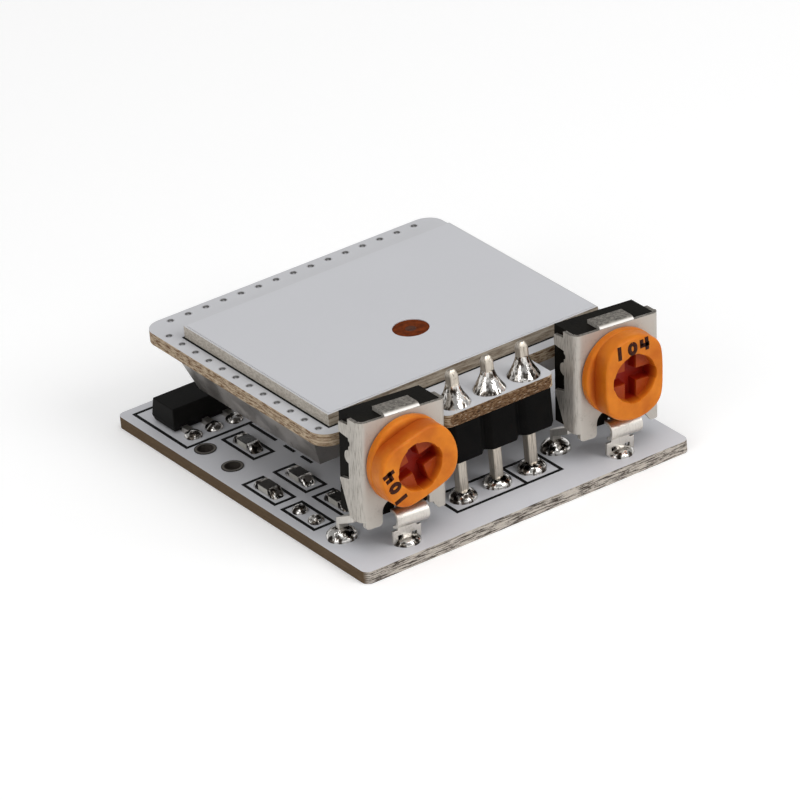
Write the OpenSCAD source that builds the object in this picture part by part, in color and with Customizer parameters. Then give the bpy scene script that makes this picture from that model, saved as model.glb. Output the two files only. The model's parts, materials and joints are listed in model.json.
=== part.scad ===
// Microwave radar motion sensor module: a base board with two screwdriver-set
// trimmers, and a radar board with a patch antenna held above it by a pin header.
// Board frame: x right along the front edge, y to the back, z up from the base
// board's top face. The part's origin is the centre of the base board's underside.

/* [Base board] */
// Width of the base board along its front edge
board_w = 23.7; // [23.5:0.1:25]
// Depth of the base board from front to back
board_d = 27.1; // [26.8:0.1:30]
// Thickness of both circuit boards
board_t = 0.8; // [0.6:0.1:1.2]
// Corner radius of the base board
board_r = 0.5; // [0.1:0.1:1.5]
// Radius of every drilled and plated hole
hole_r = 0.5; // [0.48:0.01:0.55]
// Width of the tin ring around an open hole
ring_w = 0.2; // [0.1:0.05:0.25]
// Width of the printed marking lines
silk_w = 0.2; // [0.1:0.02:0.25]

/* [Radar board] */
// Width of the radar board
rf_w = 21.6; // [21.4:0.1:22]
// Distance from the base board's front edge to the radar board's front edge
rf_front = 5.4; // [5.2:0.1:5.8]
// Depth of the radar board without its front tab
rf_d = 19.6; // [19:0.1:20.5]
// Corner radius of the radar board
rf_r = 1.2; // [0.4:0.1:2]
// Width of the front tab that carries the header
tab_w = 7.9; // [7.8:0.1:8.2]
// Distance from the base board's front edge to the tab's front edge
tab_front = 2.4; // [2.2:0.1:2.5]
// Shift of the radar board and header to the right of the base board's centre
stack_shift = 0.2; // [0:0.05:0.3]
// Radius of a via's outer wall
via_r = 0.28; // [0.2:0.02:0.32]
// Number of vias along the back edge
back_vias = 15; // [5:1:17]
// Number of vias along each side
side_vias = 12; // [4:1:13]

/* [Antenna] */
// Width of the antenna plate
ant_w = 19.7; // [18.5:0.1:19.9]
// Depth of the antenna plate
ant_d = 15.6; // [14:0.1:16]
// Thickness of the antenna plate
ant_t = 0.8; // [0.5:0.1:1.6]
// Distance from the radar board's front edge to the antenna plate
ant_gap = 0.9; // [0.7:0.05:1.2]
// Margin between the plate's edge and the metal patch
patch_margin = 0.12; // [0.06:0.02:1]
// Radius of the round window in the patch at the feed point
window_r = 1.14; // [0.8:0.02:1.5]
// Distance of the feed point in front of the plate's centre
feed_off = 2.2; // [1:0.1:4]

/* [Shield can] */
// Depth of the shield can below the radar board
can_h = 2.2; // [1.5:0.1:2.6]
// Sheet thickness of the shield can
can_t = 0.2; // [0.15:0.05:0.3]
// Slope of the can's walls away from upright, in degrees
can_slope = 20; // [5:1:25]

/* [Header] */
// Distance from the base board's front edge to the pin row
header_y = 3.6; // [3.5:0.05:3.7]
// Pin spacing
pitch = 2.54; // [2.5:0.02:2.54]
// Number of header pins
pin_n = 3; // [3:1:3]
// Side of a square header pin
pin_sq = 0.64; // [0.5:0.02:0.66]
// Bare length of the pins between base board and insulator
pin_stand = 3.08; // [2.8:0.02:3.6]
// Height of a pin's tip above the radar board
pin_tip = 2.25; // [1.6:0.05:3]

/* [Trimmers] */
// Distance of each trimmer's centre from the base board's centre line
trim_off = 7.8; // [7.7:0.05:8]
// Distance from the base board's front edge to a trimmer's front plate
plate_y = 1.7; // [1.6:0.05:1.8]
// Width of a trimmer over its metal cover
trim_w = 6.2; // [6:0.1:6.4]
// Depth of a trimmer without its knob
trim_d = 2.5; // [2.4:0.05:2.6]
// Height of a trimmer's top above the base board
trim_top = 8.6; // [8.4:0.05:8.8]
// Lean of both trimmers to the right, as soldered, in degrees
trim_lean = 4.5; // [0:0.5:5]
// Height of a trimmer's body underside above the base board
trim_base = 2; // [1.9:0.05:2.1]
// Sheet thickness of the metal cover
cover_t = 0.25; // [0.2:0.05:0.3]
// Spacing of a trimmer's two end terminals
end_pitch = 5; // [4.8:0.1:5.1]
// Distance of the end terminals behind the front plate
end_back = 3; // [2.9:0.05:3.2]

/* [Knobs] */
// Height of the knob's axis above the base board
knob_z = 5.5; // [5.4:0.05:5.6]
// Outer radius of the knob
knob_r = 2.75; // [2.4:0.05:2.8]
// Radius of the knob's flat front face
face_r = 2.5; // [2.1:0.05:2.6]
// Width of the knob across its two finger flats
knob_flat = 3.9; // [3.6:0.1:4.6]
// Thickness of the round flange behind the flats
knob_disc = 0.6; // [0.3:0.05:0.8]
// Length of the knob in front of the cover
knob_len = 1.75; // [1.5:0.05:2.1]
// Radius of the round recess in the knob's face
recess_r = 1.55; // [1.2:0.05:1.7]
// Width of the cross slot
slot_w = 0.75; // [0.5:0.05:0.9]
// Turn of the left knob anticlockwise from digits up, in degrees
left_turn = 110; // [-120:5:120]
// Turn of the right knob anticlockwise from digits up, in degrees
right_turn = 0; // [-120:5:120]
// Running gap between the knob and the cover
run_gap = 0.05; // [0.03:0.01:0.08]

/* [Small parts] */
// Length of a chip resistor
chip_l = 1.6; // [1.5:0.05:1.7]
// Width of a chip resistor
chip_w = 0.85; // [0.7:0.05:0.95]
// Height of a chip resistor
chip_h = 0.5; // [0.4:0.05:0.6]
// Width of the voltage regulator's body
reg_w = 4.5; // [4.3:0.1:4.6]
// Depth of the voltage regulator's body
reg_d = 2.5; // [2.3:0.05:2.6]
// Height of the voltage regulator
reg_h = 1.6; // [1.4:0.05:1.7]
// Length of the control chip's body
ic_l = 8.7; // [8.5:0.1:9]
// Width of the control chip's body
ic_w = 3.9; // [3.8:0.1:4]

/* [Hidden] */

$fn = 48;
small_fn = 24;
eps = 0.01;

// Heights
block_h = pitch;
rf_z = pin_stand + block_h;
rf_top = rf_z + board_t;
ant_top = rf_top + ant_t;
film = 0.05;
ink = 0.03;

// Plan positions
mid_x = board_w / 2;
stack_x = mid_x + stack_shift;
ant_shift = 0.2;
ant_x = stack_x + ant_shift;
ant_y = rf_front + ant_gap + ant_d / 2;
rf_back = rf_front + rf_d;
feed_y = ant_y - feed_off;
feed_r = 0.35;
patch_r = 0.2;
pin_x = [for (i = [0 : pin_n - 1]) stack_x + (i - (pin_n - 1) / 2) * pitch];

// Open holes: two for a light sensor on the left, three for the supply and the
// output at the back
light_x = 1.55;
light_y = [16.5, 19.5];
power_edge = 1.1;
light_holes = [for (y = light_y) [light_x, y]];
power_holes = [for (x = pin_x) [x, board_d - power_edge]];

// Places of the vias: one row along the back, one down each side
via_edge = 0.58;
back_span = rf_w - 3.5;
side_first = 1.2;
side_span = rf_d - side_first - 2.2;
via_back = [for (i = [0 : back_vias - 1])
    [stack_x + (i / (back_vias - 1) - 0.5) * back_span, rf_back - via_edge]];
via_side = [for (i = [0 : side_vias - 1], s = [-1, 1])
    [stack_x + s * (rf_w / 2 - via_edge), rf_front + side_first + i * side_span / (side_vias - 1)]];
via_at = concat(via_back, via_side);

// Shield can and the chip in it
can_inset = 0.25;
can_front = 1.4;
can_w = rf_w - 2 * can_inset;
can_d = 14.7;
can_y = rf_front + can_front + can_d / 2;
rf_chip_w = 4;
rf_chip_h = 0.9;

// Header: corner cut of the insulator, pin point, solder
block_cut = 0.42;
point_h = 0.35;
cone_r = 1.05;
cone_h = 1.25;
collar_r = 0.47;
base_dome_r = 0.92;
base_dome_h = 0.6;

// Trimmer positions and inner depths, measured back from the front plate
left_x = mid_x - trim_off;
right_x = mid_x + trim_off;
bend_r = 0.45;
corner_ease = 0.05;
body_w = trim_w - 2 * cover_t;
body_top = trim_top - cover_t;
rotor_r = 2.3;
rotor_t = 0.5;
rotor_gap = 0.15;
cavity_r = rotor_r + rotor_gap;
neck_r = 1.7;
rotor_back = cover_t + run_gap + rotor_t;
wiper_t = 0.12;
wiper_room = 0.4;
track_t = 0.2;
floor_d = rotor_back + wiper_t + wiper_room;
track_front = floor_d - track_t;
track_r = 2.3;
track_in = 1.25;
dimple_r = 1.8;

// Cover: toothed side flanges, two legs with an arch between them, folded tab
flange_d = 1.2;
tooth_d = 2.2;
leg_w = 1.2;
leg_low = 1.45;
arch_z = trim_base + 0.3;
arch_l = -1.6;
arch_r = 1.75;
arch_corner = 0.7;
tab_fold_w = 2.5;
tab_reach = 1.35;
tab_bend = 0.4;
tab_drop = 0.6;
top_chamfer = tab_bend - cover_t;

// Terminals and the track's feet
wiper_x = 0;
wiper_d = -0.1;
end_w = 0.65;
end_t = 0.3;
end_top = 2.2;
end_low = 1.45;
end_kink = 0.35;
foot_x = 2.1;
foot_w = 1.1;
foot_h = 0.7;
foot_z = trim_base + end_top - foot_h + 0.05;
foot_gap = 0.05;
roll_r = 0.6;
roll_z = 1.85;
roll_d = -0.35;
roll_w = 2.3;
strip_t = 0.2;
strip_w = 1;
strip_gap = 0.1;
slot_top = 1.5;
wiper_neck_w = 1.35;
fork_w = 2;
fork_z = 0.55;
fork_h = 0.36;
tine_w = 0.34;
tine_low = fork_w / 2 * sin(trim_lean) + eps;
foot_dome_r = 0.9;
foot_dome_h = 0.5;
end_dome_r = 1;
end_dome_h = 0.7;

// Chips along y: body, end caps and the marked places they stand in
box_w = 1.6;
box_l = 3.6;
col_a = 1.45;
col_b = 3.7;
row_a = 8.2;
row_b = 12.4;
row_c = 18.05;
chip_at = [[col_b, row_c], [col_a, row_b], [col_b, row_b], [col_b, row_a]];
empty_at = [col_a, row_a];
pad_off = 0.85;
pad_r = 0.52;
pad_h = 0.38;
end_l = 0.3;
coat_t = 0.08;
chip_lift = 0.04;
fillet_l = 0.4;
cap_l = 2;
cap_w = 1.25;
cap_h = 0.85;

// Regulator
reg_x = 1.2;
reg_y = 22.4;
reg_lead_pitch = 1.5;
reg_lead_w = 0.45;
reg_foot = 0.95;
reg_stand = 0.06;
reg_side = 0.5;
reg_line_front = 2.1;
reg_line_back = 1.5;
reg_lead_x = [for (i = [-1 : 1]) reg_x + reg_w / 2 + i * reg_lead_pitch];

// Control chip, and the capacitors round it
ic_x = stack_x;
ic_y = 13.5;
ic_n = 7;
ic_pitch = 1.27;
ic_h = 1.7;
ic_stand = 0.15;
ic_lead = 1.05;
ic_lead_w = 0.42;
cap_gap = 0.6;
cap_side = ic_x + ic_l / 2 + cap_gap + cap_w / 2;
cap_back = ic_y + ic_w / 2 + ic_lead + 5 + cap_l / 2;
cap_spread = 4.75;
reg_gap = 0.45;
cap_at = [
    [cap_side, ic_y - 4], [cap_side, ic_y],
    [reg_x + reg_w + reg_side + reg_gap + cap_w / 2, cap_back],
    [ic_x + cap_spread, cap_back]
];

// Printed lines beside the marked places, as [x, y, length]
dash_x = 5.23;
dashes = [[dash_x, 13.5, 1.15], [dash_x, 15.4, 1.1], [dash_x, 17.4, 2.95]];
header_line = 0.1;

// Moves a piece from the board frame to the part's own frame
module placed() translate([-board_w / 2, -board_d / 2, board_t]) children();

// Rounded rectangle, its corner at the origin
module round_rect(w, d, r) {
    translate([r, 0]) square([w - 2 * r, d]);
    translate([0, r]) square([w, d - 2 * r]);
    for (x = [r, w - r], y = [r, d - r]) translate([x, y]) circle(r);
}

// Rectangular line frame of width silk_w, its corner at the origin
module line_frame(w, d) {
    difference() {
        square([w, d]);
        translate([silk_w, silk_w]) square([w - 2 * silk_w, d - 2 * silk_w]);
    }
}

// Extrudes a (depth, height) outline along x, centred
module across(w) rotate([90, 0, 90]) linear_extrude(w, center = true) children();

// Extrudes an (x, height) outline backwards from depth a to depth b
module backwards(a, b) translate([0, b, 0]) rotate([90, 0, 0]) linear_extrude(b - a) children();

// Quarter ring about the origin between two angles that are multiples of 90
module quarter_ring(r_in, r_out, turn) {
    rotate(turn) intersection() {
        difference() {
            circle(r_out);
            circle(r_in);
        }
        square(r_out + 1);
    }
}

module trimmer_places() {
    translate([left_x, plate_y, 0]) children();
    translate([right_x, plate_y, 0]) children();
}

// Turns a trimmer about its foot, so that its top leans to the right
module leaning() rotate([0, trim_lean, 0]) children();

// Cuts a trimmer's feet off flush with the base board's underside
module cut_flush() intersection() {
    children();
    translate([-board_w, -board_d, -board_t]) cube([2 * board_w, 2 * board_d, 2 * trim_top]);
}

// Places of a trimmer's three soldered feet, measured from its own front centre
trim_feet = [[-end_pitch / 2, end_back], [end_pitch / 2, end_back], [wiper_x, wiper_d]];

module base_board() {
    color("gainsboro") placed() difference() {
        translate([0, 0, -board_t]) linear_extrude(board_t) round_rect(board_w, board_d, board_r);
        for (p = concat(light_holes, power_holes, [for (x = pin_x) [x, header_y]]))
            translate([p[0], p[1], -board_t - 1]) cylinder(h = board_t + 2, r = hole_r);
        trimmer_places() for (p = trim_feet)
            translate([p[0], p[1], -board_t - 1]) cylinder(h = board_t + 2, r = hole_r);
    }
}

module chip_frame(x, y) translate([x - box_w / 2, y - box_l / 2]) line_frame(box_w, box_l);

module silkscreen() {
    header_w = pin_n * pitch + 2 * header_line;
    header_d = pitch + 2 * header_line;
    color("black") placed() linear_extrude(ink) {
        for (p = concat(chip_at, [empty_at])) chip_frame(p[0], p[1]);
        translate([reg_x - reg_side, reg_y - reg_line_front])
            line_frame(reg_w + 2 * reg_side, reg_d + reg_line_front + reg_line_back);
        translate([stack_x - header_w / 2, header_y - header_d / 2])
            line_frame(header_w, header_d);
        translate([stack_x + pitch / 2 - silk_w / 2, header_y - header_d / 2])
            square([silk_w, header_d]);
        for (p = dashes) translate([p[0], p[1]]) square([silk_w, p[2]]);
    }
}

module base_pads() {
    color("silver") placed() linear_extrude(film) for (p = concat(light_holes, power_holes))
        translate(p) difference() {
            circle(hole_r + ring_w);
            circle(hole_r);
        }
}

module rf_outline() {
    translate([stack_x - rf_w / 2, rf_front]) round_rect(rf_w, rf_d, rf_r);
    translate([stack_x - tab_w / 2, tab_front])
        round_rect(tab_w, rf_front - tab_front + 2, 0.5);
}

module rf_board() {
    color("gainsboro") placed() translate([0, 0, rf_z]) difference() {
        linear_extrude(board_t) rf_outline();
        for (x = pin_x) translate([x, header_y, -1]) cylinder(h = board_t + 2, r = hole_r);
        for (p = via_at)
            translate([p[0], p[1], -1]) cylinder(h = board_t + 2, r = via_r, $fn = small_fn);
        translate([ant_x, feed_y, -1]) cylinder(h = board_t + 2, r = feed_r, $fn = small_fn);
    }
}

// Filled vias, each with a shallow dimple at both ends
module rf_vias() {
    rim = via_r * 0.72;
    dip = board_t * 0.15;
    color("silver") placed() for (p = via_at) translate([p[0], p[1], rf_z])
        rotate_extrude($fn = small_fn) polygon([
            [0, dip], [rim / 2, dip * 0.8], [rim, 0], [via_r, 0],
            [via_r, board_t], [rim, board_t], [rim / 2, board_t - dip * 0.8], [0, board_t - dip]]);
}

module ant_square(grow) {
    translate([ant_x - ant_w / 2 - grow, ant_y - ant_d / 2 - grow])
        square([ant_w + 2 * grow, ant_d + 2 * grow]);
}

module rf_silkscreen() {
    color("black") placed() translate([0, 0, rf_top]) linear_extrude(ink) difference() {
        ant_square(0.12);
        ant_square(0);
    }
}

module antenna_plate() {
    color("tan") placed() translate([0, 0, rf_top]) difference() {
        linear_extrude(ant_t) ant_square(0);
        translate([ant_x, feed_y, -1]) cylinder(h = ant_t + 2, r = feed_r, $fn = small_fn);
    }
}

module antenna_patch() {
    color("whitesmoke") placed() translate([0, 0, ant_top]) linear_extrude(film) difference() {
        translate([ant_x - ant_w / 2 + patch_margin, ant_y - ant_d / 2 + patch_margin])
            round_rect(ant_w - 2 * patch_margin, ant_d - 2 * patch_margin, patch_r);
        translate([ant_x, feed_y]) circle(window_r);
    }
}

module feed_pin() {
    color("saddlebrown") placed() translate([ant_x, feed_y, rf_z])
        cylinder(h = board_t + ant_t, r = feed_r, $fn = small_fn);
}

// Block with four sloped walls, narrower at the bottom
module tray(w, d, h) {
    lean = h * tan(can_slope);
    intersection() {
        backwards(-d / 2, d / 2)
            polygon([[-w / 2, 0], [w / 2, 0], [w / 2 - lean, -h], [-w / 2 + lean, -h]]);
        across(w) polygon([[-d / 2, 0], [d / 2, 0], [d / 2 - lean, -h], [-d / 2 + lean, -h]]);
    }
}

module shield_can() {
    color("silver") placed() translate([stack_x, can_y, rf_z]) difference() {
        tray(can_w, can_d, can_h);
        translate([0, 0, eps]) tray(can_w - 2 * can_t, can_d - 2 * can_t, can_h - can_t);
    }
}

module rf_chip() {
    color("dimgray") placed()
        translate([stack_x - rf_chip_w / 2, can_y - rf_chip_w / 2, rf_z - rf_chip_h])
            cube([rf_chip_w, rf_chip_w, rf_chip_h]);
}

// One bay of the header's insulator, its four corners cut at 45 degrees
module header_bay() {
    a = pitch / 2;
    b = a - block_cut;
    polygon([[-a, -b], [-b, -a], [b, -a], [a, -b], [a, b], [b, a], [-b, a], [-a, b]]);
}

module header_block() {
    color("#1c1c1c") placed() translate([0, header_y, pin_stand]) difference() {
        for (x = pin_x) translate([x, 0, 0]) linear_extrude(block_h) header_bay();
        for (x = pin_x) translate([x, 0, 0]) square_pin(-1, block_h + 1);
    }
}

module square_pin(low, high) {
    translate([-pin_sq / 2, -pin_sq / 2, low]) cube([pin_sq, pin_sq, high - low]);
}

module header_pins() {
    top = rf_top + pin_tip;
    color("silver") placed() for (x = pin_x) translate([x, header_y, 0]) {
        square_pin(-board_t, top - point_h);
        intersection() {
            square_pin(top - point_h, top);
            across(pin_sq) polygon([
                [-pin_sq / 2, top - point_h], [pin_sq / 2, top - point_h],
                [pin_sq / 4, top], [-pin_sq / 4, top]]);
        }
    }
}

// Solder cone round a pin: wide foot, hollow flank, narrow collar
module solder_cone(r, h, collar) {
    rotate_extrude() polygon([
        [0, 0], [r, 0], [r, 0.06], [r * 0.82, h * 0.14], [r * 0.64, h * 0.36],
        [collar + 0.06, h * 0.68], [collar, h], [0, h]]);
}

// Solder dome: a flat cap, round at its edge
module solder_dome(r, h) {
    rotate_extrude() polygon([
        [0, 0], [r, 0], [r * 0.97, h * 0.3], [r * 0.8, h * 0.66], [r * 0.5, h * 0.9], [0, h]]);
}

// Solder that fills a plated hole down to the board's underside
module hole_fill() translate([0, 0, -board_t]) cylinder(h = board_t + eps, r = hole_r);

module header_solder_top() {
    color("lightgray") placed() for (x = pin_x) translate([x, header_y, rf_top]) difference() {
        union() {
            solder_cone(cone_r, cone_h, collar_r);
            hole_fill();
        }
        square_pin(-board_t - 1, cone_h + 1);
    }
}

module header_solder_base() {
    color("lightgray") placed() for (x = pin_x) translate([x, header_y, 0]) difference() {
        union() {
            solder_dome(base_dome_r, base_dome_h);
            hole_fill();
        }
        square_pin(-board_t - 1, base_dome_h + 1);
    }
}

// Moulded block with a draft of its own above and below its parting line, its foot
// at the origin
module moulded(w, d, h, parting) {
    draft = 0.12;
    intersection() {
        backwards(-d / 2, d / 2) polygon([
            [-w / 2 + draft, 0], [w / 2 - draft, 0], [w / 2, parting],
            [w / 2 - draft, h], [-w / 2 + draft, h], [-w / 2, parting]]);
        across(w) polygon([
            [-d / 2 + draft, 0], [d / 2 - draft, 0], [d / 2, parting],
            [d / 2 - draft, h], [-d / 2 + draft, h], [-d / 2, parting]]);
    }
}

module regulator_body() {
    color("#202020") placed()
        translate([reg_x + reg_w / 2, reg_y + reg_d / 2, reg_stand])
            moulded(reg_w, reg_d, reg_h - reg_stand, 0.4);
}

// Three leads at the front, lying on the board, and the heat tab at the back
module regulator_leads() {
    under = 0.5;
    lead_t = 0.36;
    heat_w = 1.7;
    heat_in = 2.1;
    heat_out = 0.8;
    color("silver") placed() {
        for (x = reg_lead_x) translate([x - reg_lead_w / 2, reg_y - reg_foot, 0]) {
            cube([reg_lead_w, reg_foot + under, reg_stand]);
            cube([reg_lead_w, reg_foot, lead_t]);
        }
        translate([reg_x + (reg_w - heat_w) / 2, reg_y + reg_d - heat_in, 0])
            cube([heat_w, heat_in + heat_out, reg_stand]);
    }
}

module regulator_solder() {
    dome_r = 0.6;
    dome_h = 0.42;
    color("lightgray") placed() difference() {
        for (x = reg_lead_x) translate([x, reg_y - reg_foot, 0]) solder_dome(dome_r, dome_h);
        for (x = reg_lead_x) translate([x - reg_lead_w / 2, reg_y - reg_foot, -dome_h])
            cube([reg_lead_w, reg_foot + dome_r, 3 * dome_h]);
    }
}

// Middle of a chip between its end caps
module chip_core(l, w, low, high) {
    translate([-w / 2, -l / 2 + end_l, low]) cube([w, l - 2 * end_l, high - low]);
}

module chip_ends(l, w, h) {
    for (s = [-1, 1]) translate([-w / 2, s * (l - end_l) / 2 - end_l / 2, 0]) cube([w, end_l, h]);
}

// Solder fillet at both ends of a chip
module chip_fillets(l, w, h) {
    for (s = [0, 180]) rotate(s) translate([0, l / 2, 0]) across(w - 0.1)
        polygon([[0, 0], [fillet_l, 0], [fillet_l * 0.3, h * 0.25], [0, h * 0.75]]);
}

module at_chips() for (p = chip_at) translate([p[0], p[1], 0]) children();

module at_caps() for (p = cap_at) translate([p[0], p[1], 0]) children();

module resistor_bodies() {
    color("white") placed() at_chips() chip_core(chip_l, chip_w, chip_lift, chip_h - coat_t);
}

module resistor_coats() {
    color("#181818") placed() at_chips() chip_core(chip_l, chip_w, chip_h - coat_t, chip_h);
}

module resistor_caps() {
    color("silver") placed() at_chips() chip_ends(chip_l, chip_w, chip_h);
}

module chip_solder() {
    color("lightgray") placed() {
        at_chips() chip_fillets(chip_l, chip_w, chip_h);
        at_caps() chip_fillets(cap_l, cap_w, cap_h);
        for (s = [-1, 1]) translate([empty_at[0], empty_at[1] + s * pad_off, 0])
            solder_dome(pad_r, pad_h);
    }
}

module capacitor_bodies() {
    color("tan") placed() at_caps() chip_core(cap_l, cap_w, chip_lift, cap_h - chip_lift / 2);
}

module capacitor_caps() {
    color("silver") placed() at_caps() chip_ends(cap_l, cap_w, cap_h);
}

module controller_body() {
    color("#202020") placed() translate([ic_x, ic_y, ic_stand])
        moulded(ic_l, ic_w, ic_h - ic_stand, ic_h / 2 - ic_stand);
}

// Gull-wing lead: out of the body, down and flat on the board
module gull_lead() {
    t = 0.2;
    z = ic_h / 2;
    across(ic_lead_w) polygon([
        [-0.05, z - t / 2], [0.3, z - t / 2], [0.5, 0], [ic_lead, 0], [ic_lead, t],
        [0.65, t], [0.42, z + t / 2], [-0.05, z + t / 2]]);
}

module controller_leads() {
    color("silver") placed() difference() {
        for (i = [0 : ic_n - 1], s = [0, 180])
            translate([ic_x, ic_y, 0]) rotate(s)
                translate([(i - (ic_n - 1) / 2) * ic_pitch, ic_w / 2, 0]) gull_lead();
        translate([ic_x - ic_l / 2, ic_y - ic_w / 2, -1]) cube([ic_l, ic_w, ic_h + 2]);
    }
}

// Trimmer pieces. Each is drawn about the front plate's foot: x across, y back
// from the plate's front face, z up from the base board.

// Plan of the space inside the cover, its two front corners rounded by a given radius
module inner_plan(r) translate([-body_w / 2, cover_t]) round_rect(body_w, 2 * trim_d, r);

// Outline of the hollow for rotor and track, seen from the front
module cavity_outline() {
    translate([0, knob_z]) circle(cavity_r);
    for (s = [-1, 1])
        translate([s * foot_x - foot_w / 2 - foot_gap, foot_z - foot_gap])
            square([foot_w + 2 * foot_gap, foot_h + 2 * foot_gap]);
    translate([-strip_w / 2 - strip_gap, trim_base - 1])
        square([strip_w + 2 * strip_gap, slot_top + 1]);
}

// Black body: hollow in front for the rotor, slots for the end terminals
module trimmer_body() {
    difference() {
        translate([0, 0, trim_base]) linear_extrude(body_top - trim_base) intersection() {
            inner_plan(bend_r - cover_t + corner_ease);
            translate([-body_w / 2, cover_t]) square([body_w, trim_d - cover_t]);
        }
        backwards(cover_t - 1, floor_d) cavity_outline();
        across(body_w + 1) polygon([
            [cover_t - 1, body_top - top_chamfer - 1], [cover_t + top_chamfer + 1, body_top + 1],
            [cover_t - 1, body_top + 1]]);
        for (s = [0, 1]) mirror([s, 0, 0])
            translate([(end_pitch - end_w) / 2, floor_d, trim_base - 1])
                cube([body_w, end_t, end_top + 1]);
    }
}

// Rear edge of the cover's side flange as (depth, height): teeth that grip the body
module flange_outline() {
    low = trim_base - 0.05;
    difference() {
        polygon([
            [0, low], [flange_d, low], [flange_d + 0.15, low + 0.4],
            [tooth_d - 0.05, trim_base + 2.1], [tooth_d - 0.05, trim_base + 2.25],
            [flange_d, trim_base + 2.45], [flange_d, body_top - 1.25],
            [tooth_d, body_top - 1.15], [tooth_d, body_top - 0.5],
            [flange_d + 0.05, body_top - 0.4], [flange_d + 0.05, body_top], [0, body_top]]);
        translate([flange_d + 0.05, body_top - 1.6]) circle(0.2, $fn = small_fn);
    }
    translate([flange_d, body_top - 2.45]) circle(0.42, $fn = small_fn);
}

module cover_section() {
    difference() {
        translate([-trim_w / 2, 0]) round_rect(trim_w, 2 * trim_d, bend_r);
        inner_plan(bend_r - cover_t);
    }
}

// Front face of the cover: two legs with an arch between them, and the knob's hole
module cover_front() {
    low = trim_base - 0.05;
    leg_h = arch_z - leg_low + 0.35;
    right = trim_w / 2 - 0.1;
    difference() {
        translate([-trim_w / 2, low]) square([trim_w, body_top + corner_ease - low]);
        translate([0, knob_z]) circle(neck_r + run_gap);
        translate([arch_l, low - 1]) square([arch_r - arch_l, arch_z - low + 1]);
        translate([arch_l + arch_corner, low])
            square([arch_r - arch_l - 2 * arch_corner, arch_z + arch_corner - low]);
        for (x = [arch_l + arch_corner, arch_r - arch_corner])
            translate([x, arch_z]) circle(arch_corner);
    }
    translate([-trim_w / 2 + 0.3, leg_low]) round_rect(leg_w, leg_h, 0.25);
    polygon([
        [right, leg_low], [right - 0.6, leg_low], [right - 0.9, leg_low + 0.35],
        [arch_r + 0.1, arch_z + 0.1], [right, arch_z + 0.1]]);
}

// Bent sheet: front plate and side flanges, and a tab folded back over the top
module trimmer_cover() {
    intersection() {
        linear_extrude(trim_top + 1) cover_section();
        union() {
            backwards(-1, bend_r) cover_front();
            across(trim_w + 2) difference() {
                flange_outline();
                translate([-1, 0]) square([bend_r + 1, trim_top + 1]);
            }
        }
    }
    across(tab_fold_w) {
        translate([tab_bend, trim_top - tab_bend])
            quarter_ring(tab_bend - cover_t, tab_bend, 90);
        translate([tab_bend, body_top]) square([tab_reach - tab_bend, cover_t]);
        translate([0, trim_top - tab_bend - tab_drop + 0.15])
            square([cover_t, tab_drop - 0.15]);
    }
}

// Rotor: knob head with two finger flats, neck through the cover and disc behind it
module knob(turn) {
    f = knob_len;
    translate([0, 0, knob_z]) rotate([90, 0, 0]) rotate(turn) difference() {
        rotate_extrude() polygon([
            [0, -rotor_back], [rotor_r, -rotor_back], [rotor_r, -cover_t - run_gap],
            [neck_r, -cover_t - run_gap], [neck_r, run_gap], [knob_r - 0.1, run_gap],
            [knob_r, run_gap + 0.1], [knob_r, knob_disc], [face_r + 0.1, f - 0.12],
            [face_r, f], [0, f]]);
        for (s = [0, 180]) rotate(s) translate([knob_flat / 2, -knob_r - 1, knob_disc])
            cube([knob_r, 2 * knob_r + 2, f]);
        translate([0, 0, f - 0.4]) cylinder(h = 1, r = recess_r);
        for (a = [0, 90]) rotate(a)
            translate([-slot_w / 2, -recess_r, f - 1.15]) cube([slot_w, 2 * recess_r, 2]);
    }
}

// Sprung contact on the rotor's back: hub and dimple touch the collector and track
module wiper(turn) {
    gap = 0.02;
    reach = track_front - rotor_back - gap;
    translate([0, rotor_back, knob_z]) rotate([-90, 0, 0]) rotate(-turn) {
        linear_extrude(wiper_t) {
            circle(0.9);
            translate([-0.4, -dimple_r]) square([0.8, dimple_r]);
            translate([0, -dimple_r]) circle(0.4);
        }
        for (y = [0, -dimple_r]) translate([0, y, 0]) cylinder(h = reach, r = 0.22, $fn = small_fn);
    }
}

// Resistance track: a horseshoe, open at the bottom, with two feet
module track() {
    backwards(track_front, floor_d) {
        translate([0, knob_z]) difference() {
            circle(track_r);
            circle(track_in);
            polygon([[0, 0], [track_r, -1.4 * track_r], [-track_r, -1.4 * track_r]]);
        }
        for (s = [-1, 1]) translate([s * foot_x - foot_w / 2, foot_z]) square([foot_w, foot_h]);
    }
}

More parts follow.
